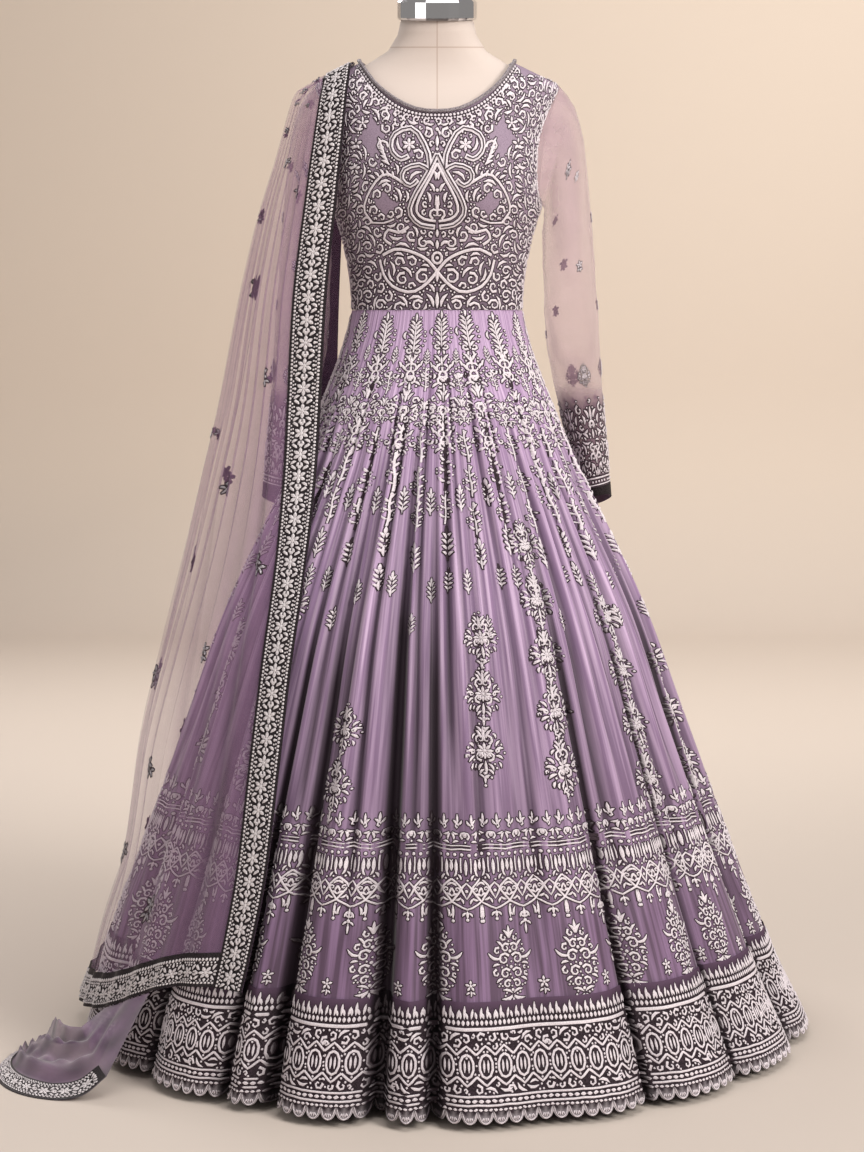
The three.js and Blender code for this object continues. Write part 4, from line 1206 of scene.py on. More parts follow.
# one piece from batches of copies, with painted shade where it lies in the skirt's deep folds
def joinCopies(name, batches, slot, finishNames=("thread", "dark")):
    points, corners, starts, layers = [], [], [], []
    vertexCount = 0
    cornerCount = 0
    for motif, placed in batches:
        turns = np.arange(len(placed))[:, None]
        points.append(placed.reshape(-1, 3))
        corners.append((motif["corners"] + vertexCount + len(motif["points"]) * turns).ravel())
        starts.append((motif["starts"] + cornerCount + len(motif["corners"]) * turns).ravel())
        layers.append(np.tile(motif["layers"], len(placed)))
        vertexCount += len(motif["points"]) * len(placed)
        cornerCount += len(motif["corners"]) * len(placed)
    starts = np.concatenate(starts)
    mesh = bpy.data.meshes.new(name)
    mesh.vertices.add(vertexCount)
    mesh.loops.add(cornerCount)
    mesh.polygons.add(len(starts))
    mesh.vertices.foreach_set("co", np.concatenate(points).ravel())
    mesh.loops.foreach_set("vertex_index", np.concatenate(corners))
    mesh.polygons.foreach_set("loop_start", starts)
    mesh.polygons.foreach_set("material_index", np.concatenate(layers))
    mesh.update(calc_edges=True)
    mesh.shade_smooth()
    piece = addObject(name, mesh)
    for finishName in finishNames:
        mesh.materials.append(finishes[finishName])
    spots = coordinates(piece)
    below = spots[:, 2] < bodice["waist"] - 0.02
    onSkirt = slot in ("skirt_cloth", "embroidered_border")
    shade = foldShade(angleOf(spots), spots[:, 2])
    setAttribute(piece, "shade", np.clip(shade, 0, 0.94) * below * onSkirt)
    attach(piece, "root")
    return piece


# where a step across and up from an anchor lies on each surface
def skirtPlace(turned, height, up):
    top = bodice["waist"] - seamGap
    return (turned + 180) / 360 % 1, (height + skirt["rise"] * up - skirt["bottom"]) / (top - skirt["bottom"])


def skirtSpot(angle, z, across, up):
    return skirtPlace(angle + np.degrees(across / skirtEnvelope(angle, z)), z, up)


# in the lace band a cell's width follows the skirt, so that its lines join up all round
def laceSpot(angle, z, across, up):
    return skirtPlace(angle + np.degrees(across / lace["radius"]), z, up)


def borderSpot(angle, z, across, up):
    turned = angle + np.degrees(across / borderRadius)
    edge = borderEdge(turned)
    return (turned + 180) / 360 % 1, (z + up - edge) / (border["top"] - edge)


def scallopSpot(angle, z, across, up):
    turned = angle + np.degrees(across / skirtEnvelope(angle, z))
    return (turned + 180) / 360 % 1, up / (border["top"] - borderEdge(turned))


def bodiceSpot(side):
    way = 1 if side == "front" else -1

    def spot(arc, z, across, up):
        height = z + up
        turn = np.clip((arc + across) * way / armholeWidth(height), -math.pi / 2, math.pi / 2)
        top = panelTop(np.sin(turn), neckDrop(side))
        return (np.degrees(turn) + 90) / 180, (height - bodice["waist"]) / (top - bodice["waist"])

    return spot


sleeveRadius = 0.042  # where its flowers are laid out
sleeveRowZ = np.concatenate([[bodice["tipZ"]], sleeveSections["outZ"]])


def sleeveSpot(arm):
    def spot(turn, z, across, up):
        row = np.interp(-(z + up), -sleeveRowZ, np.arange(len(sleeveRowZ)))
        return ((turn - arm * np.degrees(across / sleeveRadius)) / 360) % 1, 1 - row / sleeveRows

    return spot


# seeded filler: curls, leaves and beads of falling size, packed between the strokes already laid
def packStrokes(strokes, low, high, inside, seed, gap=1.3, sizes=(1.3, 1.0, 0.7, 0), period=None):
    rng = np.random.default_rng(seed)
    cell = 0.5
    rim = 1.3  # the dark edge round a stroke
    density = 0.6  # tries for each square millimetre
    gridX, gridY = np.meshgrid(np.arange(low[0], high[0], cell), np.arange(low[1], high[1], cell))
    free = inside(gridX, gridY)
    tries = int(free.sum() * cell * cell * density)

    def close(stroke):
        path, widths = stroke
        if path is None:
            spots = np.array([widths[:2]], float)
            reach = widths[2] + gap + rim
        else:
            at = np.linspace(0, len(path) - 1, 4 * len(path))
            spots = np.stack([np.interp(at, np.arange(len(path)), column) for column in path.T], -1)
            reach = np.max(widths) / 2 + gap + rim
        for shift in (0, period, -period) if period else (0,):
            for x, y in spots + (shift, 0):
                left = max(int((x - low[0] - reach) / cell), 0)
                right = max(int((x - low[0] + reach) / cell) + 1, 0)
                under = max(int((y - low[1] - reach) / cell), 0)
                over = max(int((y - low[1] + reach) / cell) + 1, 0)
                away = (gridX[under:over, left:right] - x) ** 2 + (gridY[under:over, left:right] - y) ** 2
                free[under:over, left:right] &= away > reach ** 2

    def fits(stroke):
        spots = np.array([stroke[1][:2]]) if stroke[0] is None else stroke[0]
        at = np.round((spots - low) / cell).astype(int)
        if period:
            at[:, 0] %= free.shape[1]
        if at.min() < 0 or at[:, 0].max() >= free.shape[1] or at[:, 1].max() >= free.shape[0]:
            return False
        return bool(free[at[:, 1], at[:, 0]].all())

    for stroke in strokes:
        close(stroke)
    added = []
    for size in sizes:
        for x, y, turn, kind in rng.random((tries, 4)):
            x = lerp(low[0], high[0], x)
            y = lerp(low[1], high[1], y)
            way = 1 if kind * 10 % 1 < 0.5 else -1
            if not fits((None, (x, y))):
                continue
            if size == 0:
                stroke = bead(x, y, 1.4)
            elif kind < 0.6:
                stroke = curl(x, y, 360 * turn, 3.4 * size, way, 0.66 + 0.12 * size, 1.9 + 0.8 * size,
                    3 + int(1.6 * size))
            else:
                stroke = leaf(x, y, 360 * turn, 8.5 * size, 2.3 + 0.8 * size, 0.2 * way)
            if fits(stroke):
                added.append(stroke)
                close(stroke)
    return added


def lozenge(wide, high, power=1.3):
    return lambda x, y: np.abs(x / wide) ** power + np.abs(y / high) ** power < 1


everywhere = lozenge(1e9, 1e9)


# strokes with filler inside a lozenge
def filled(strokes, wide, high, seed, power=1.3):
    return strokes + packStrokes(
        strokes, (-wide, -high), (wide, high), lozenge(wide, high, power), seed, 1.1, (1.6, 1.2, 0.8, 0))


sprigStrokes = [leaf(0, -19, 90, 15, 2.6, 0.05), leaf(0, 10, 90, 11, 3.6, 0)] + mirrored([
    leaf(1, -14, 48, 8, 3), leaf(1, -7, 46, 9, 3.2), leaf(1, 0, 48, 9, 3.2), leaf(1, 6, 60, 9, 3.2)])
twigStrokes = [line([(0, -24), (1, -8), (-1, 8), (0, 24)], 2.4, 5), bead(0, 22, 1.9)] + [
    leaf(0, -19, 40, 9, 3.2), leaf(0, -14, 145, 10, 3.2), leaf(0, -6, 35, 10, 3.2), leaf(0, -1, 150, 9, 3.2),
    leaf(0, 6, 40, 9, 3.2), leaf(0, 11, 140, 9, 3.2), leaf(0, 15, 60, 8, 3)]
coneStrokes = [leaf(0, 19, 90, 12, 3.8, 0), line([(0, -24), (0, 16)], 2.2, 3)] + mirrored(
    [leaf(1.5, y, 48, 12 - abs(y + 2) * 0.2, 3.3) for y in (-20, -13, -6, 1, 8, 14)] + [
        curl(2, -24, -50, 4.2, 1, 0.9, 2.8, 6), leaf(2, -27, -80, 6, 2.8)])
knotStrokes = [
    ring(0, -3, 4.4, 5.4, 2.6), leaf(0, 8, 90, 14, 3.8, 0), leaf(0, -13, -90, 11, 3, 0)] + mirrored([
    curl(1, 12, 10, 6.2, -1, 1.0, 3.1, 8), curl(2, -14, 5, 6.0, 1, 1.05, 3.0, 8), leaf(7, 3, 50, 11, 3.4),
    curl(14, -2, -100, 4.2, 1, 0.9, 2.7, 6), leaf(5, -12, -35, 9, 3.2), leaf(2, 15, 50, 11, 3.3),
    leaf(13, 8, 70, 8, 3)])
heartStrokes = [leaf(0, 6, 90, 15, 4, 0), leaf(0, -20, 90, 11, 3, 0), bead(0, -2, 2)] + mirrored([
    curl(1, -12, 30, 7.5, 1, 1.05, 2.9, 8), leaf(3, 8, 55, 12, 3.4), leaf(8, -14, -25, 8, 3),
    leaf(2, -19, -50, 8, 2.8), leaf(9, -2, 30, 9, 3), curl(3, -20, -20, 4.4, 1, 0.9, 2.6, 5),
    leaf(2, 14, 65, 9, 3)])
clusterStrokes = petals(0, 0, 8, 8, 3.6) + [
    bead(0, 0, 2.4), leaf(0, 12, 90, 17, 3.8, 0), leaf(0, -12, -90, 16, 3.4, 0), bead(0, -31, 2)] + mirrored([
    curl(4, -12, -10, 5.8, 1, 1.05, 2.9, 7), curl(6, 8, 20, 6.2, 1, 1.05, 2.9, 8), leaf(3, 15, 58, 12, 3.3),
    leaf(12, 0, 10, 11, 3.4), leaf(12, -6, -28, 10, 3.2), leaf(3, -15, -60, 10, 3), leaf(2, 22, 50, 9, 3),
    leaf(13, 5, 45, 9, 3.2), leaf(2, -22, -48, 8, 2.8), leaf(15, -14, -70, 7, 2.8),
    curl(17, 2, -60, 3.4, -1, 0.9, 2.6, 5)])
linkStrokes = [
    bead(0, 8, 1.9), leaf(0, 5, -90, 10, 3.2, 0), bead(0, -8, 1.9)] + mirrored([leaf(1, 2, 35, 7, 2.8)])
butaStrokes = [
    leaf(0, 36, 90, 17, 4.2, 0), bead(0, 18, 2.4), bead(0, -3, 2.4), bead(0, -34, 2.2),
    leaf(0, -44, -90, 10, 3.4, 0)] + mirrored([
    curl(1, 27, 50, 6.5, -1, 1.1, 3.2, 8), curl(2, 12, 60, 8.5, -1, 1.15, 3.4, 9),
    curl(2, -8, 60, 7.5, -1, 1.1, 3.3, 8), curl(2, -22, 50, 6, -1, 1.05, 3.1, 8),
    leaf(13, 9, 24, 20, 4, -0.2, 4), leaf(1, 36, 58, 13, 3.8), leaf(11, 24, 50, 11, 3.4),
    leaf(16, 1, -12, 10, 3.4), leaf(13, -18, -30, 10, 3.4), leaf(1, -38, 20, 14, 3.4),
    leaf(1, -41, -15, 16, 3.6, -0.15), leaf(1, -43, -50, 12, 3.4)])
smallStrokes = petals(0, 0, 5, 6, 3.4) + [
    bead(0, 0, 1.9), leaf(0, -7, -90, 8, 2.4, 0.1)] + mirrored([leaf(1, -9, -30, 6, 2.6)])
bandTop = mirrored([
    leaf(9, 141, 90, 13, 3.4, 0), leaf(8, 140, 128, 8, 3), leaf(10, 140, 52, 8, 3),
    curl(9, 136, 0, 3.2, 1, 0.9, 2.4, 5), curl(3, 122, 25, 5.2, 1, 1.05, 2.7, 7),
    leaf(14, 121, 70, 9, 3.2), leaf(8, 119, -15, 8, 3), leaf(16, 131, 200, 8, 2.8), bead(4.5, 102, 2.3),
    bead(13.5, 102, 2.3), leaf(12, 96, -90, 19, 4.4, 0), line([(6, 98), (6.4, 88), (6, 79)], 1.8, 2),
    leaf(16, 96, -82, 15, 2.6), leaf(12, 62, 25, 9, 3), leaf(10, 52, -22, 9, 3), leaf(6, 70, 60, 8, 2.8),
    leaf(15, 74, 110, 8, 2.8), curl(8, 58, 80, 3.2, -1, 0.9, 2.3, 5), leaf(15, 52, 60, 9, 2.8),
    leaf(4, 40, 60, 8, 2.8), leaf(14, 44, 150, 8, 2.8)]) + [
    leaf(0, 96, -90, 19, 4.4, 0), bead(0, 128, 2.2), bead(0, 56, 2.2), leaf(0, 76, 90, 8, 3, 0),
    line([(-18, 108), (0, 109.5), (18, 108)], 2.0, 3), line([(-18, 113), (0, 114), (18, 113)], 1.5, 3),
    line([(-18, 71), (-8, 62), (0, 46), (8, 62), (18, 71)], 2.5, 8),
    line([(-18, 42), (-9, 54), (0, 66), (9, 54), (18, 42)], 2.5, 8),
    line([(-18, 42), (-9, 37), (0, 33), (9, 37), (18, 42)], 2.3, 6)]
bandLong = bandTop + [leaf(0, 31, -90, 13, 3.6, 0), bead(0, 15, 2.5), leaf(0, 12, -90, 13, 3, 0)] + mirrored([
    leaf(1, 27, -55, 9, 3), leaf(1, 14, -35, 7, 2.8), leaf(12, 34, -80, 11, 3),
    curl(1, 20, -20, 3, 1, 0.9, 2.3, 5)])
bandShort = bandTop + [leaf(0, 31, -90, 9, 3.4, 0), bead(0, 20, 2.1)] + mirrored([
    leaf(1, 29, -45, 7, 2.8), leaf(17, 38, -90, 17, 3.4, 0), leaf(16, 27, -40, 6, 2.6), bead(17, 18, 2.1)])


borderSeeds = (3, 4, 5)


# one of the border's cells, with its own filler in the gaps
def borderCell(seed):
    strokes = [
        line([(-24, y), (0, y), (24, y)], width, 4) for y, width in ((10.5, 2.4), (20.5, 2.4), (97, 3.8))]
    strokes += [leaf(x - 3, 15.5, 0, 6.4, 4.2, 0) for x in (-20, -12, -4, 4, 12, 20)]
    strokes += [leaf(x - 2.2, 5.5, 0, 4.8, 3.2, 0) for x in (-21, -15, -9, -3, 3, 9, 15, 21)]
    strokes += [leaf(x, 101.5, 90, 6, 4.4, 0) for x in (-21, -15, -9, -3, 3, 9, 15, 21)]
    strokes += [leaf(x, 109, 90 + tilt, high, 3.6, 0) for x, tilt, high in (
        (-21.5, 12, 8), (-16.5, -9, 13), (-12, 16, 7), (-7.5, -5, 14), (-3, 14, 8), (1.5, -16, 11), (6, 5, 9),
        (10.5, -4, 15), (15, 19, 8), (19.5, -12, 12))]
    for middle in (-12, 12):
        strokes += moved([
            ring(0, 0, 8.4, 13.5, 2.9, 10), leaf(-2.6, -7, 90, 14, 3.0, 0), leaf(2.6, -7, 90, 14, 3.0, 0),
            line([(-12, -12), (-6, -17), (0, -22), (6, -17), (12, -12)], 2.7, 6),
            line([(-12, 13), (-6, 18), (0, 23), (6, 18), (12, 13)], 2.7, 6)], middle, 55)
    return strokes + packStrokes(strokes, (-24, 22), (24, 96), everywhere, seed, 0.8,
        (1.8, 1.3, 0.9, 0.6, 0), 48)


scallopStrokes = [
    line([(-8.4, 8.0), (-6.5, 3.4), (-3.4, 1.5), (0, 1.2), (3.4, 1.5), (6.5, 3.4), (8.4, 8.0)], 1.9, 8)] + [
    leaf(x, 3.4, 90 + x * 5, 5.2, 1.7, 0) for x in (-4.2, -1.5, 1.5, 4.2)]
trimFlower = petals(0, 0, 6, 8.6, 5.2) + [bead(0, 0, 2.8)] + mirrored([
    leaf(5, 9.5, 30, 9, 4.2), leaf(5, -9.5, -30, 9, 4.2), leaf(1, 11, 72, 6, 3.8), leaf(1, -11, -72, 6, 3.8),
    bead(12.2, 0, 2.1), bead(10.5, 14.5, 1.9), bead(3.4, 15.3, 1.6), bead(12, 6, 1.4), bead(12, -6, 1.4)])
trimBeads = mirrored([bead(18.4, y, 2.0) for y in (-13, -7.8, -2.6, 2.6, 7.8, 13)] + [
    bead(14.9, y, 1.4) for y in (-10.4, -5.2, 0, 5.2, 10.4)])

for band in (bandLong, bandShort):
    band += packStrokes(band, (-18, 34), (18, 134), everywhere, 17, 1.9, (1.0, 0.75, 0), 36)
motifs = {name: bakeMotif(strokes, margin=1.3) for name, strokes in (
    ("sprig", sprigStrokes), ("twig", filled(twigStrokes, 11, 27, 31)),
    ("cone", filled(coneStrokes, 14, 31, 32, 1.6)), ("knot", filled(knotStrokes, 19, 25, 33, 1.5)),
    ("heart", filled(heartStrokes, 22, 27, 34, 1.5)), ("cluster", filled(clusterStrokes, 26, 37, 35, 1.2)),
    ("link", linkStrokes), ("buta", filled(butaStrokes, 27, 52, 36, 1.5)), ("small", smallStrokes),
    ("bandLong", bandLong), ("bandShort", bandShort))}
motifs["trimFlower"] = bakeMotif(trimFlower, margin=0.4)
for seed in borderSeeds:
    motifs["border%d" % seed] = bakeMotif(borderCell(seed), margin=0.8, height=1.2)
motifs["scallop"] = bakeMotif(scallopStrokes, margin=0.3)
motifs["trimBeads"] = bakeMotif(trimBeads, margin=0.3)
print("motifs baked")

# the skirt: vines from the waist, sprigs, chains of flowers, lace band and tall flowers
vines = {"count": 17, "first": 3.0}
# kind, height and size of each motif of a vine, and of the row between two vines
vineColumn = [
    ("cone", 0.978, 1.05), ("knot", 0.928, 1.1), ("heart", 0.882, 1.1), ("knot", 0.838, 1.1),
    ("twig", 0.796, 1.1), ("twig", 0.748, 1.05), ("sprig", 0.702, 1.1), ("sprig", 0.655, 0.9),
]
vineBetween = [
    ("sprig", 0.948, 0.6), ("twig", 0.912, 0.7), ("heart", 0.872, 0.8), ("twig", 0.828, 0.95),
    ("twig", 0.782, 1.0), ("twig", 0.736, 0.95), ("sprig", 0.688, 1.05), ("sprig", 0.600, 0.8),
]
# chains of flowers: angle, height of the top flower, how many flowers
chains = [
    (-175, 0.60, 4), (-153, 0.55, 3), (-131, 0.64, 4), (-109, 0.52, 3), (-87, 0.62, 4), (-64, 0.56, 3),
    (-42, 0.62, 4), (-20.5, 0.47, 2), (11, 0.585, 3), (29, 0.70, 5), (52, 0.60, 4), (74, 0.53, 3),
    (96, 0.64, 4), (118, 0.55, 3), (141, 0.62, 4), (163, 0.53, 3),
]
chainStep = 0.070
lace = {"cells": 72, "bottom": 0.226, "radius": 0.413, "cellWidth": 0.036}
tall = {"count": 32, "height": 0.191, "smallHeight": 0.166}
rng = np.random.default_rng(7)


def makeVines():
    step = 360 / vines["count"]
    places = {"cone": [], "knot": [], "heart": [], "sprig": [], "twig": []}
    for k in range(vines["count"]):
        angle = vines["first"] + k * step
        for column, turned in ((vineColumn, angle), (vineBetween, angle + step / 2)):
            drift = rng.uniform(-0.8, 0.8)
            for kind, z, size in column:
                at = turned + drift + rng.uniform(-0.4, 0.4)
                height = z + rng.uniform(-0.004, 0.004)
                places[kind].append((at, height, size * rng.uniform(0.92, 1.06), rng.uniform(-4, 4)))
        for side in (-0.25, 0.25):
            for z, size in ((0.765, 0.95), (0.650, 0.85)):
                at = angle + side * step + rng.uniform(-0.6, 0.6)
                places["sprig"].append((at, z + rng.uniform(-0.012, 0.012), size))
    batches = [copiesOn("skirt", skirtSpot, motifs[kind], anchors) for kind, anchors in places.items()]
    joinCopies("waistVines", batches, "skirt_cloth")


def makeChains():
    places = {"cluster": [], "link": []}
    for angle, top, count in chains:
        for i in range(count):
            z = top - chainStep * i
            places["cluster"].append((angle - 0.5 * i, z, 0.98 + 0.06 * i, rng.uniform(-5, 5)))
            places["link"].append((angle - 0.5 * i - 0.25, z - chainStep / 2, 1.0))
    batches = [copiesOn("skirt", skirtSpot, motifs[kind], anchors) for kind, anchors in places.items()]
    joinCopies("flowerChains", batches, "skirt_cloth")


def makeLace():
    step = 360 / lace["cells"]
    size = 2 * math.pi * lace["radius"] / lace["cells"] / lace["cellWidth"]
    places = {"bandLong": [], "bandShort": []}
    for k in range(lace["cells"]):
        kind = "bandLong" if k % 3 == 0 else "bandShort"
        places[kind].append((k * step, lace["bottom"], size))
    batches = [copiesOn("skirt", laceSpot, motifs[kind], anchors) for kind, anchors in places.items()]
    joinCopies("laceBand", batches, "skirt_cloth")


def makeTallFlowers():
    step = 360 / tall["count"]
    flowers = []
    small = []
    for k in range(tall["count"]):
        at = k * step + rng.uniform(-1, 1)
        flowers.append((at, tall["height"] + rng.uniform(-0.003, 0.003), rng.uniform(0.92, 1.02)))
        at = k * step + step / 2 + rng.uniform(-1, 1)
        small.append((at, tall["smallHeight"] + rng.uniform(-0.004, 0.004), rng.uniform(0.8, 1.0)))
    joinCopies("tallFlowers", [
        copiesOn("skirt", skirtSpot, motifs["buta"], flowers),
        copiesOn("skirt", skirtSpot, motifs["small"], small),
    ], "skirt_cloth")


def makeBorderStitches():
    cells = border["cells"]
    for name, run in (("Right", range(cells // 2)), ("Left", range(cells // 2, cells))):
        batches = []
        for kind, seed in enumerate(borderSeeds):
            places = [((k + 0.5) * 360 / cells - 180, border["stitchFrom"]) for k in run if k % 3 == kind]
            batches.append(copiesOn("border", borderSpot, motifs["border%d" % seed], places))
        joinCopies("borderStitches" + name, batches, "embroidered_border")
    step = 360 / border["scallops"]
    places = [(border["firstCusp"] + (k + 0.5) * step, 0.016) for k in range(border["scallops"])]
    joinCopies("scallopStitches", [
        copiesOn("border", scallopSpot, motifs["scallop"], places)], "embroidered_border")


makeVines()
makeChains()
makeLace()
makeTallFlowers()
makeBorderStitches()
print("skirt embroidered")


# the bodice: one half is laid from the middle outwards, and mirrored
bodiceHalf = [
    line([(10, 1196), (13, 1222), (32, 1253), (57, 1246), (62, 1226), (50, 1212), (38, 1216)], 7.0, 14),
    line([(10, 1196), (24, 1204), (44, 1198), (47, 1184), (36, 1176), (26, 1184)], 6.4, 10),
    line([(0, 1219), (13, 1192), (31, 1162), (37, 1141), (24, 1125), (3, 1121)], 6.6, 11),
    line([(0, 1206), (11, 1184), (24, 1160), (28, 1142), (18, 1132), (2, 1129)], 3.4, 10),
    curl(6, 1132, 20, 7.5, 1, 1.1, 3.4, 8), leaf(4, 1168, 60, 13, 4.2), leaf(10, 1154, 75, 14, 4.2),
    leaf(3, 1150, 95, 13, 4.2), curl(14, 1148, -30, 4.5, 1, 0.9, 3, 6), leaf(2, 1184, 80, 12, 4.2),
    curl(66, 1228, 100, 9, -1, 1.0, 3.6, 8), curl(44, 1262, -10, 7, -1, 1.0, 3.4, 7),
    line([(46, 1180), (70, 1192), (90, 1172), (99, 1146), (88, 1128)], 3.6, 10),
    line([(90, 1128), (72, 1127), (58, 1132)], 2.4, 4),
    line([(38, 1122), (52, 1114), (66, 1118), (72, 1106), (62, 1098)], 3.8, 8),
    curl(42, 1116, -50, 8, 1, 1.0, 3.4, 8), curl(20, 1108, -10, 7.5, -1, 1.05, 3.4, 8),
    line([(0, 1062), (14, 1078), (34, 1088), (56, 1092), (74, 1084)], 4.0, 9),
    line([(0, 1062), (14, 1046), (34, 1034), (58, 1040), (72, 1056), (78, 1078)], 4.0, 11),
    curl(14, 1064, 30, 11, -1, 1.15, 4.0, 9), curl(44, 1060, 20, 9, -1, 1.1, 3.8, 9),
    curl(20, 1020, 60, 8, -1, 1.1, 3.6, 8), curl(44, 1016, 60, 9, -1, 1.1, 3.6, 8),
    curl(70, 1018, 80, 8, -1, 1.1, 3.6, 8), leaf(5, 1014, 62, 20, 4.6), leaf(4, 1034, 55, 13, 4.2),
    leaf(5, 1096, 40, 11, 4.2), leaf(8, 1100, 0, 9, 4),
]
bodiceHalf += [leaf(64 + 2.5 * i, 1204 + 5 * i, 30 + 9 * i, 13, 4.0, 0.1) for i in range(6)]
bodiceHalf += [leaf(60 + 6 * i, 1186 + (2 - abs(i - 2)) * 2, 85 - 14 * i, 10, 3.8, 0.1) for i in range(5)]
bodiceHalf += [
    curl(98 + 3 * (i % 2), 1016 + 16.5 * i, 60 + 50 * (i % 2), 6.8, 1 if i % 2 else -1, 1.05, 3.4, 8)
    for i in range(9)]
bodiceHalf += [leaf(112 + 4 * (i % 2), 1022 + 14 * i, 60 + 70 * (i % 2), 11, 4.0) for i in range(10)]
bodiceHalf += [
    curl(132 + 4 * (i % 2), 1016 + 18 * i, 100, 7, 1 if i % 2 else -1, 1.05, 3.4, 8) for i in range(8)]
bodiceHalf += [leaf(x, z, turn, 12, 4.2) for x, z, turn in (
    (94, 1294, -60), (102, 1280, 200), (108, 1268, -40), (112, 1256, 190), (116, 1244, -50), (118, 1230, 170),
    (120, 1216, -70), (119, 1202, 160), (118, 1188, -80), (116, 1176, 150))]
bodiceHalf += petals(101, 1262, 5, 7, 4.2) + petals(110, 1234, 5, 6.5, 4.2) + petals(112, 1200, 5, 6.5, 4.2)
bodiceHalf += petals(38, 1231, 6, 7.5, 4.4) + [bead(38, 1231, 2.6), bead(57, 1265, 2.4), bead(101, 1262, 2.4)]
bodiceMiddle = [
    leaf(0, 1012, 90, 22, 5, 0), ring(0, 1080, 6.5, 7.5, 3.4), bead(0, 1080, 2.6),
    leaf(0, 1092, 90, 12, 4.6, 0), leaf(0, 1108, 90, 10, 4.4, 0), leaf(0, 1062, -90, 14, 4.4, 0),
    leaf(0, 1140, 90, 16, 4.6, 0), bead(0, 1170, 2.4), leaf(0, 1228, 90, 15, 4.8, 0), bead(0, 1252, 2.6),
    bead(0, 1225, 2.2),
]
# rows of beads along the neckline: offset, radius, spacing; and the offset of the scrolls below them
neck = {"rows": ((4.5, 2.1, 5.2), (9.0, 1.5, 4.4)), "scroll": 16, "top": 1351, "half": 107, "stitchHalf": 112}


# running length along a row of points
def stripLength(points):
    return np.concatenate([[0], np.cumsum(np.linalg.norm(np.diff(points, axis=0), axis=1))])


# the neckline in millimetres, as arcs from the middle and heights
def neckEdge(side, count):
    x = np.linspace(-bodice["neckX"] * 0.985, bodice["neckX"] * 0.985, count)
    z = panelTop(x / bodice["tipX"], neckDrop(side))
    arc = armholeWidth(z) * np.arcsin(x / armholeWidth(z))
    return np.stack([arc, z], -1) * 1000


# evenly spaced places at an offset below the neckline: arcs, heights and turns
def alongNeck(side, offset, gap):
    edge = neckEdge(side, 400)
    slope = np.gradient(edge, axis=0)
    slope /= np.linalg.norm(slope, axis=1, keepdims=True)
    lowered = edge + np.stack([slope[:, 1], -slope[:, 0]], -1) * offset
    length = stripLength(lowered)
    at = np.arange(gap / 2, length[-1], gap)
    turn = np.degrees(np.arctan2(slope[:, 1], slope[:, 0]))
    return [np.interp(at, length, column) for column in (lowered[:, 0], lowered[:, 1], turn)]


# strokes laid out in the front view, unrolled round the figure
def unrolled(strokes):
    placed = []
    for path, wide in strokes:
        spots = np.array([wide[:2]]) if path is None else path
        width = armholeWidth(spots[:, 1] * mm) * 1000
        arc = width * np.arcsin(np.clip(spots[:, 0] / width, -1, 1))
        if path is None:
            placed.append((None, (arc[0], wide[1], wide[2])))
        else:
            placed.append((np.stack([arc, spots[:, 1]], -1), wide))
    return placed


# bare spots on half a panel: across, height, half width and half height
bareSpots = ((70, 1152, 17, 15), (88, 1241, 19, 30))


# where the filler goes on half a panel: everywhere below the neckline but for the bare spots
def bodiceInside(side):
    drop = neckDrop(side) * 1000

    def inside(arc, z):
        width = armholeWidth(z * mm) * 1000
        x = width * np.sin(np.clip(arc / width, 0, math.pi / 2))
        neckline = neck["top"] - drop * (1 - np.minimum(x / neck["half"], 1) ** neckPower)
        free = (arc < width * 1.54) & (z < neckline - 15) & (z < 1330)
        for spotX, spotZ, wide, high in bareSpots:
            free &= np.abs((x - spotX) / wide) + np.abs((z - spotZ) / high) > 1
        return free

    return inside


def makeBodiceStitches(side):
    half = unrolled(bodiceHalf)
    half += packStrokes(half + bodiceMiddle, (2.5, 1006), (236, 1330), bodiceInside(side), 11, 1.3,
        (2.4, 1.8, 1.3, 0.9, 0))
    strokes = mirrored(half) + bodiceMiddle
    xs, zs, turns = alongNeck(side, neck["scroll"], 15)
    for x, z, turn in zip(xs, zs, turns):
        way = 1 if x > 0 else -1
        strokes.append(curl(x, z - 2, turn if x > 0 else turn + 180, 5.2, way, 1.0, 2.8, 7))
        strokes.append(leaf(x, z - 9, turn - 90 + 20 * way, 8, 3.2))
    drop = neckDrop(side) * 1000
    strokes = [stroke for stroke in strokes if belowNeck(stroke, drop)]
    for offset, radius, gap in neck["rows"]:
        xs, zs, _ = alongNeck(side, offset, gap)
        strokes += [bead(x, z, radius) for x, z in zip(xs, zs)]
    motif = bakeMotif(strokes, margin=1.5)
    joinCopies("bodiceStitches" + side.capitalize(), [
        copiesOn("bodice" + side, bodiceSpot(side), motif, [(0, 0)])], "bodice_cloth")


# keeps a stroke only if all of it lies on the panel
def belowNeck(stroke, drop):
    spots = np.array([stroke[1][:2]]) if stroke[0] is None else stroke[0]
    x = np.abs(spots[:, 0])
    edge = neck["top"] - drop * (1 - np.minimum(x / neck["stitchHalf"], 1) ** neckPower)
    return bool(np.all(spots[:, 1] < edge - 9) and np.all(spots[:, 1] > 1005))


for side in ("front", "back"):
    makeBodiceStitches(side)
print("bodice embroidered")


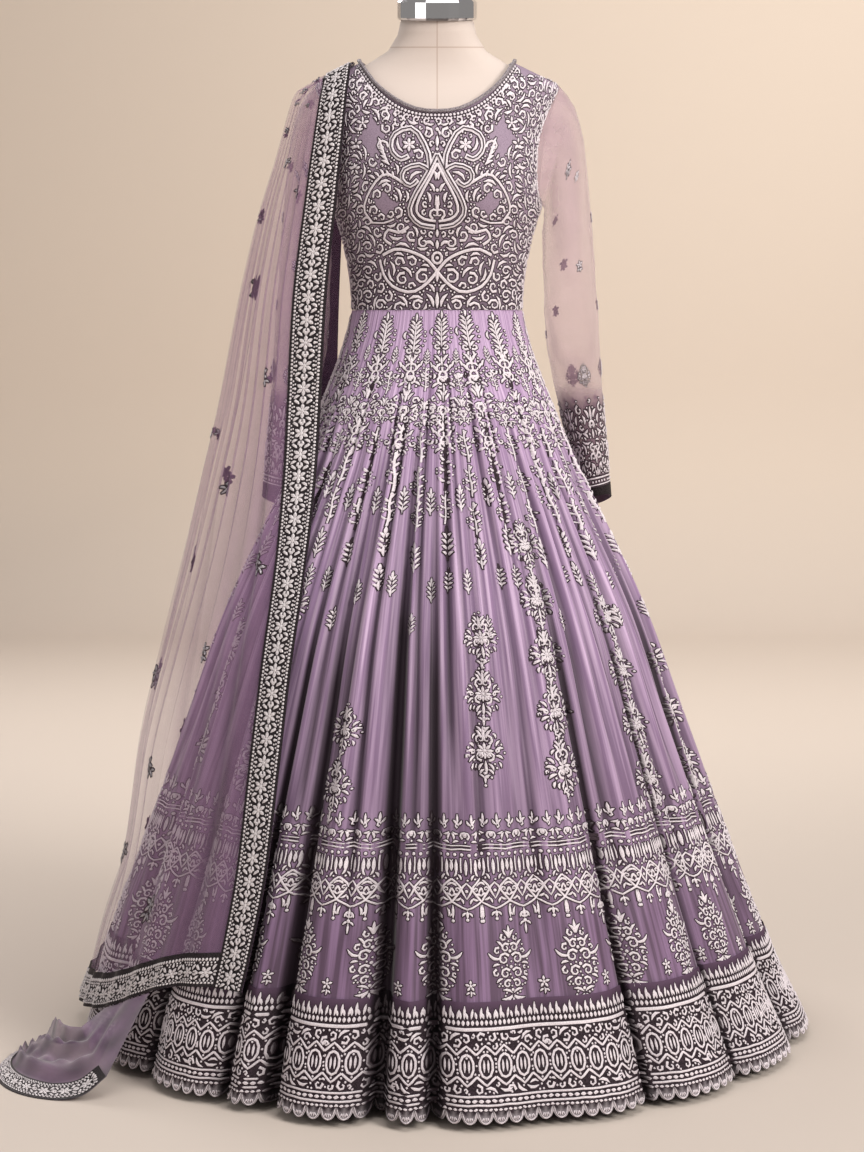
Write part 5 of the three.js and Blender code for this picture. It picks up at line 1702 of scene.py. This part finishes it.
# sleeves: scattered flowers on the net, scrolls at the cuff and a banded edge
# angle round the sleeve, height and size of each flower
sleeveFlowers = [
    (80, 1.255, 0.8), (62, 1.222, 0.6), (70, 1.085, 0.7), (250, 1.20, 0.7), (240, 1.03, 0.7),
    (265, 1.10, 0.8), (175, 1.0, 0.6), (0, 1.14, 0.7), (350, 1.02, 0.7),
]
cuffRing = {"cells": 6, "cellWidth": 0.044, "bottom": 0.764, "turn": 15}
cuffFlowers = [(78, 0.925, 0.5), (262, 0.925, 0.5), (345, 0.93, 0.4)]
cuffCell = mirrored([
    curl(3, 86, 30, 6, 1, 1.0, 3.6, 8), leaf(5, 100, 60, 13, 4.6), leaf(14, 92, 80, 13, 4.4),
    curl(4, 62, 10, 7, -1, 1.1, 3.8, 8), leaf(12, 72, 40, 12, 4.4), curl(12, 40, 60, 6, 1, 1.05, 3.6, 8),
    leaf(3, 46, 40, 13, 4.4), leaf(6, 26, 60, 10, 4), leaf(14, 24, 100, 12, 4), leaf(4, 17, 75, 9, 3.8),
    bead(16, 58, 2.4), leaf(18, 80, 150, 9, 3.8)]) + [
    leaf(0, 96, 90, 19, 5, 0), leaf(0, 70, 90, 14, 4.6, 0), bead(0, 56, 2.8), leaf(0, 34, 90, 14, 4.6, 0),
    leaf(0, 17, 90, 12, 4.2, 0), line([(-22, 13), (0, 13), (22, 13)], 2.6, 4), bead(-16, 7, 2.4),
    bead(-8, 7, 2.4), bead(0, 7, 2.4), bead(8, 7, 2.4), bead(16, 7, 2.4),
    line([(-22, 1), (0, 1), (22, 1)], 2.6, 4)]
cuffCell += packStrokes(
    cuffCell, (-22, 15), (22, 132), lambda x, y: y < 114 + 12 * np.cos(x * math.pi / 11), 21, 1.2,
    (2.0, 1.5, 1.0, 0.7, 0), 44)
motifs["cuff"] = bakeMotif(cuffCell, margin=1.5)


def makeSleeveStitches(name, arm):
    surface = "sleeve" + name
    cells = cuffRing["cells"]
    around = [(k * 360 / cells + cuffRing["turn"], cuffRing["bottom"]) for k in range(cells)]

    # a cell's width follows the sleeve round, so that the cells close the cuff
    def cuffSpot(turn, z, across, up):
        row = np.interp(-(z + up), -sleeveRowZ, np.arange(len(sleeveRowZ)))
        return ((turn - arm * across / cuffRing["cellWidth"] * 360 / cells) / 360) % 1, 1 - row / sleeveRows

    joinCopies("sleeveStitches" + name.capitalize(), [
        copiesOn(surface, sleeveSpot(arm), motifs["small"], sleeveFlowers),
        copiesOn(surface, sleeveSpot(arm), motifs["cluster"], cuffFlowers),
        copiesOn(surface, cuffSpot, motifs["cuff"], around),
    ], "sleeve_net")


# edge of the cuff: a thin dark band
def makeCuffBand(name, arm):
    def face(u, v):
        return onSurface(samples["sleeve" + name], u, lerp(0.002, 0.1, v), np.full(np.shape(u), 0.0016))

    band = surfaceSamples(face, 72, 6, -arm)
    samples["cuff" + name] = band
    piece = gridPiece("cuffBand" + name.capitalize(), band, closed=True, flip=arm > 0)
    finish(piece, finishes["trim"], "embroidered_border", "cuff_trim_" + name)


for name, arm in (("left", 1), ("right", -1)):
    makeSleeveStitches(name, arm)
    makeCuffBand(name, arm)
print("sleeves embroidered")


# shawl: dark trims with beaded flowers, and small flowers on the net
trim = {"lift": 0.0012, "endRow": 1 / shawlLast, "first": 0.016, "spare": 0.012, "repeat": 0.031}


def makeTrim(name, face, columns, rows, outward, node, lengthwise):
    band = surfaceSamples(face, columns, rows, outward)
    samples[name] = band
    piece = gridPiece(name, band, flip=outward < 0)
    finish(piece, finishes["trim"], "shawl_trim", node)
    middles = [band[0][:, columns // 2], band[0][rows // 2]]
    longWay, shortWay = middles if lengthwise == "v" else middles[::-1]
    length = stripLength(longWay)
    share = np.linspace(0, 1, len(length))
    width = np.linalg.norm(shortWay[-1] - shortWay[0])

    def spot(along, z, across, up):
        at = np.interp(along + up, length, share)
        if lengthwise == "v":
            return 0.5 + outward * across / width, at
        return at, 0.5 - outward * across / width

    places = [(at, 0) for at in np.arange(trim["first"], length[-1] - trim["spare"], trim["repeat"])]
    joinCopies(name + "Beads", [
        copiesOn(name, spot, motifs["trimFlower"], places),
        copiesOn(name, spot, motifs["trimBeads"], places),
    ], "shawl_trim", ("bright", "dark"))


for name, way in (("Front", -1), ("Back", 1)):
    base = samples["shawl" + name.lower()]

    def edgeFace(u, v, base=base):
        return onSurface(base, u * shawl["trimShare"], v, np.full(np.shape(u), trim["lift"]))

    def endFace(u, v, base=base):
        return onSurface(
            base, lerp(shawl["trimShare"], 1, u), v * trim["endRow"], np.full(np.shape(u), trim["lift"]))

    makeTrim("edgeTrim" + name, edgeFace, 8, 300, way, "shawl_edge_trim_" + name.lower(), "v")
    makeTrim("endTrim" + name, endFace, 116, 10, way, "shawl_end_trim_" + name.lower(), "u")


def tailTrimFace(u, v):
    return onSurface(samples["tail"], u * 2 / 7, v * 7 / 8, np.full(np.shape(u), trim["lift"]))


makeTrim("tailTrim", tailTrimFace, 8, 84, -1, "shawl_tail_trim", "v")

netWidths = (0.075, 0.40)  # of the hanging net, at the shoulder and at the end
netLength = 1.35
# shares across from the trimmed edge and up from the lower end
netFlowers = [
    (0.42, 0.955), (0.62, 0.90), (0.72, 0.84), (0.35, 0.80), (0.80, 0.76), (0.50, 0.70), (0.88, 0.65),
    (0.66, 0.585), (0.30, 0.52), (0.90, 0.47), (0.55, 0.42), (0.76, 0.355), (0.40, 0.29), (0.92, 0.26),
    (0.62, 0.205), (0.82, 0.15), (0.45, 0.12), (0.25, 0.90), (0.22, 0.66), (0.20, 0.36),
]


def netSpot(way):
    def spot(u, v, across, up):
        width = lerp(netWidths[0], netWidths[1], 1 - v)
        return u + way * across / width, v + up / netLength

    return spot


for name, way in (("front", -1), ("back", 1)):
    joinCopies("netFlowers" + name.capitalize(), [
        copiesOn("shawl" + name, netSpot(way), motifs["small"], [
            (u, v, 0.85 + 0.25 * (k % 3 == 1), 20 * (k % 5) - 40) for k, (u, v) in enumerate(netFlowers)])
    ], "shawl_net", ("silver", "dark"))
print("shawl trimmed")


# camera, lights and stage
camera = {"place": (-0.007, -3.5, 1.0), "pitch": 5.95, "lens": 77.6}


def makeCamera():
    data = bpy.data.cameras.new("camera")
    data.lens = camera["lens"]
    data.sensor_width = 36
    view = addObject("camera", data)
    view.location = camera["place"]
    view.rotation_euler = (math.radians(90 - camera["pitch"]), 0, 0)
    bpy.context.scene.camera = view


def makeLight(name, place, aim, size, power, colour):
    data = bpy.data.lights.new(name, "AREA")
    data.shape = "RECTANGLE"
    data.size = size[0]
    data.size_y = size[1]
    data.energy = power
    data.color = colour
    lamp = addObject(name, data)
    lamp.location = place
    lamp.rotation_euler = (Vector(aim) - Vector(place)).to_track_quat("-Z", "Y").to_euler()


# a paper sweep: flat floor, round bend and upright wall
sweep = {
    "front": -4.5, "bend": 4.2, "radius": 0.8, "top": 4.0, "halfWidth": 5.5,
    "floor": (0.66, 0.575, 0.510), "wall": (0.70, 0.600, 0.515),
}


def makeStage():
    bm = bmesh.new()
    bmesh.ops.create_grid(bm, x_segments=2, y_segments=48, size=0.5)
    for vert in bm.verts:
        t = vert.co.y + 0.5
        vert.co.x *= 2 * sweep["halfWidth"]
        if t < 0.3:
            vert.co.y, vert.co.z = lerp(sweep["front"], sweep["bend"], t / 0.3), 0
        elif t < 0.7:
            a = (t - 0.3) / 0.4 * math.pi / 2
            vert.co.y = sweep["bend"] + sweep["radius"] * math.sin(a)
            vert.co.z = sweep["radius"] * (1 - math.cos(a))
        else:
            vert.co.y = sweep["bend"] + sweep["radius"]
            vert.co.z = lerp(sweep["radius"], sweep["top"], (t - 0.7) / 0.3)
    mesh = meshFrom(bm, "studioSweep")
    mesh.shade_smooth()
    stage = addObject("studioSweep", mesh)
    material, tree, shader = startMaterial("studioPaper", sweep["wall"], 0.9)
    split = addNode(tree, "ShaderNodeSeparateXYZ")
    tree.links.new(objectPlace(tree), split.inputs["Vector"])
    tone = mixColour(tree, ramp(tree, split.outputs["Z"], 0.0, 0.5), sweep["floor"], sweep["wall"])
    tree.links.new(tone, shader.inputs["Base Color"])
    stage.data.materials.append(material)


# name, place, aim, size, power and colour
lights = [
    ("keyLight", (2.7, -2.7, 2.6), (0, 0, 0.8), (1.6, 1.6), 128, (1.0, 0.97, 0.93)),
    ("fillLight", (-2.6, -3.0, 1.8), (0, 0, 0.7), (2.2, 2.2), 26, (1.0, 0.97, 0.95)),
    ("topLight", (0.4, -0.8, 3.4), (0, 0, 0.8), (2.0, 2.0), 36, (1.0, 0.98, 0.96)),
    ("wallLight", (1.5, 2.4, 2.8), (0.3, 5.0, 1.0), (3.0, 2.4), 70, (1.0, 0.96, 0.90)),
    ("backLight", (-1.8, 2.8, 2.7), (0, 0, 0.8), (1.8, 1.8), 46, (1.0, 0.98, 0.96)),
]
makeCamera()
makeStage()
for light in lights:
    makeLight(*light)
world = bpy.data.worlds.new("studioAir")
world.use_nodes = True
world.node_tree.nodes["Background"].inputs["Color"].default_value = (0.95, 0.90, 0.86, 1)
world.node_tree.nodes["Background"].inputs["Strength"].default_value = 0.30
bpy.context.scene.world = world
bpy.context.scene.view_settings.view_transform = "Standard"
print("camera, lights and stage made")

faceCounts = {
    piece.name: sum(len(p.vertices) - 2 for p in piece.data.polygons)
    for piece in bpy.context.scene.objects if piece.type == "MESH" and not piece.hide_render
}
print("triangles:", sum(faceCounts.values()), sorted(faceCounts.items(), key=lambda item: -item[1])[:14])
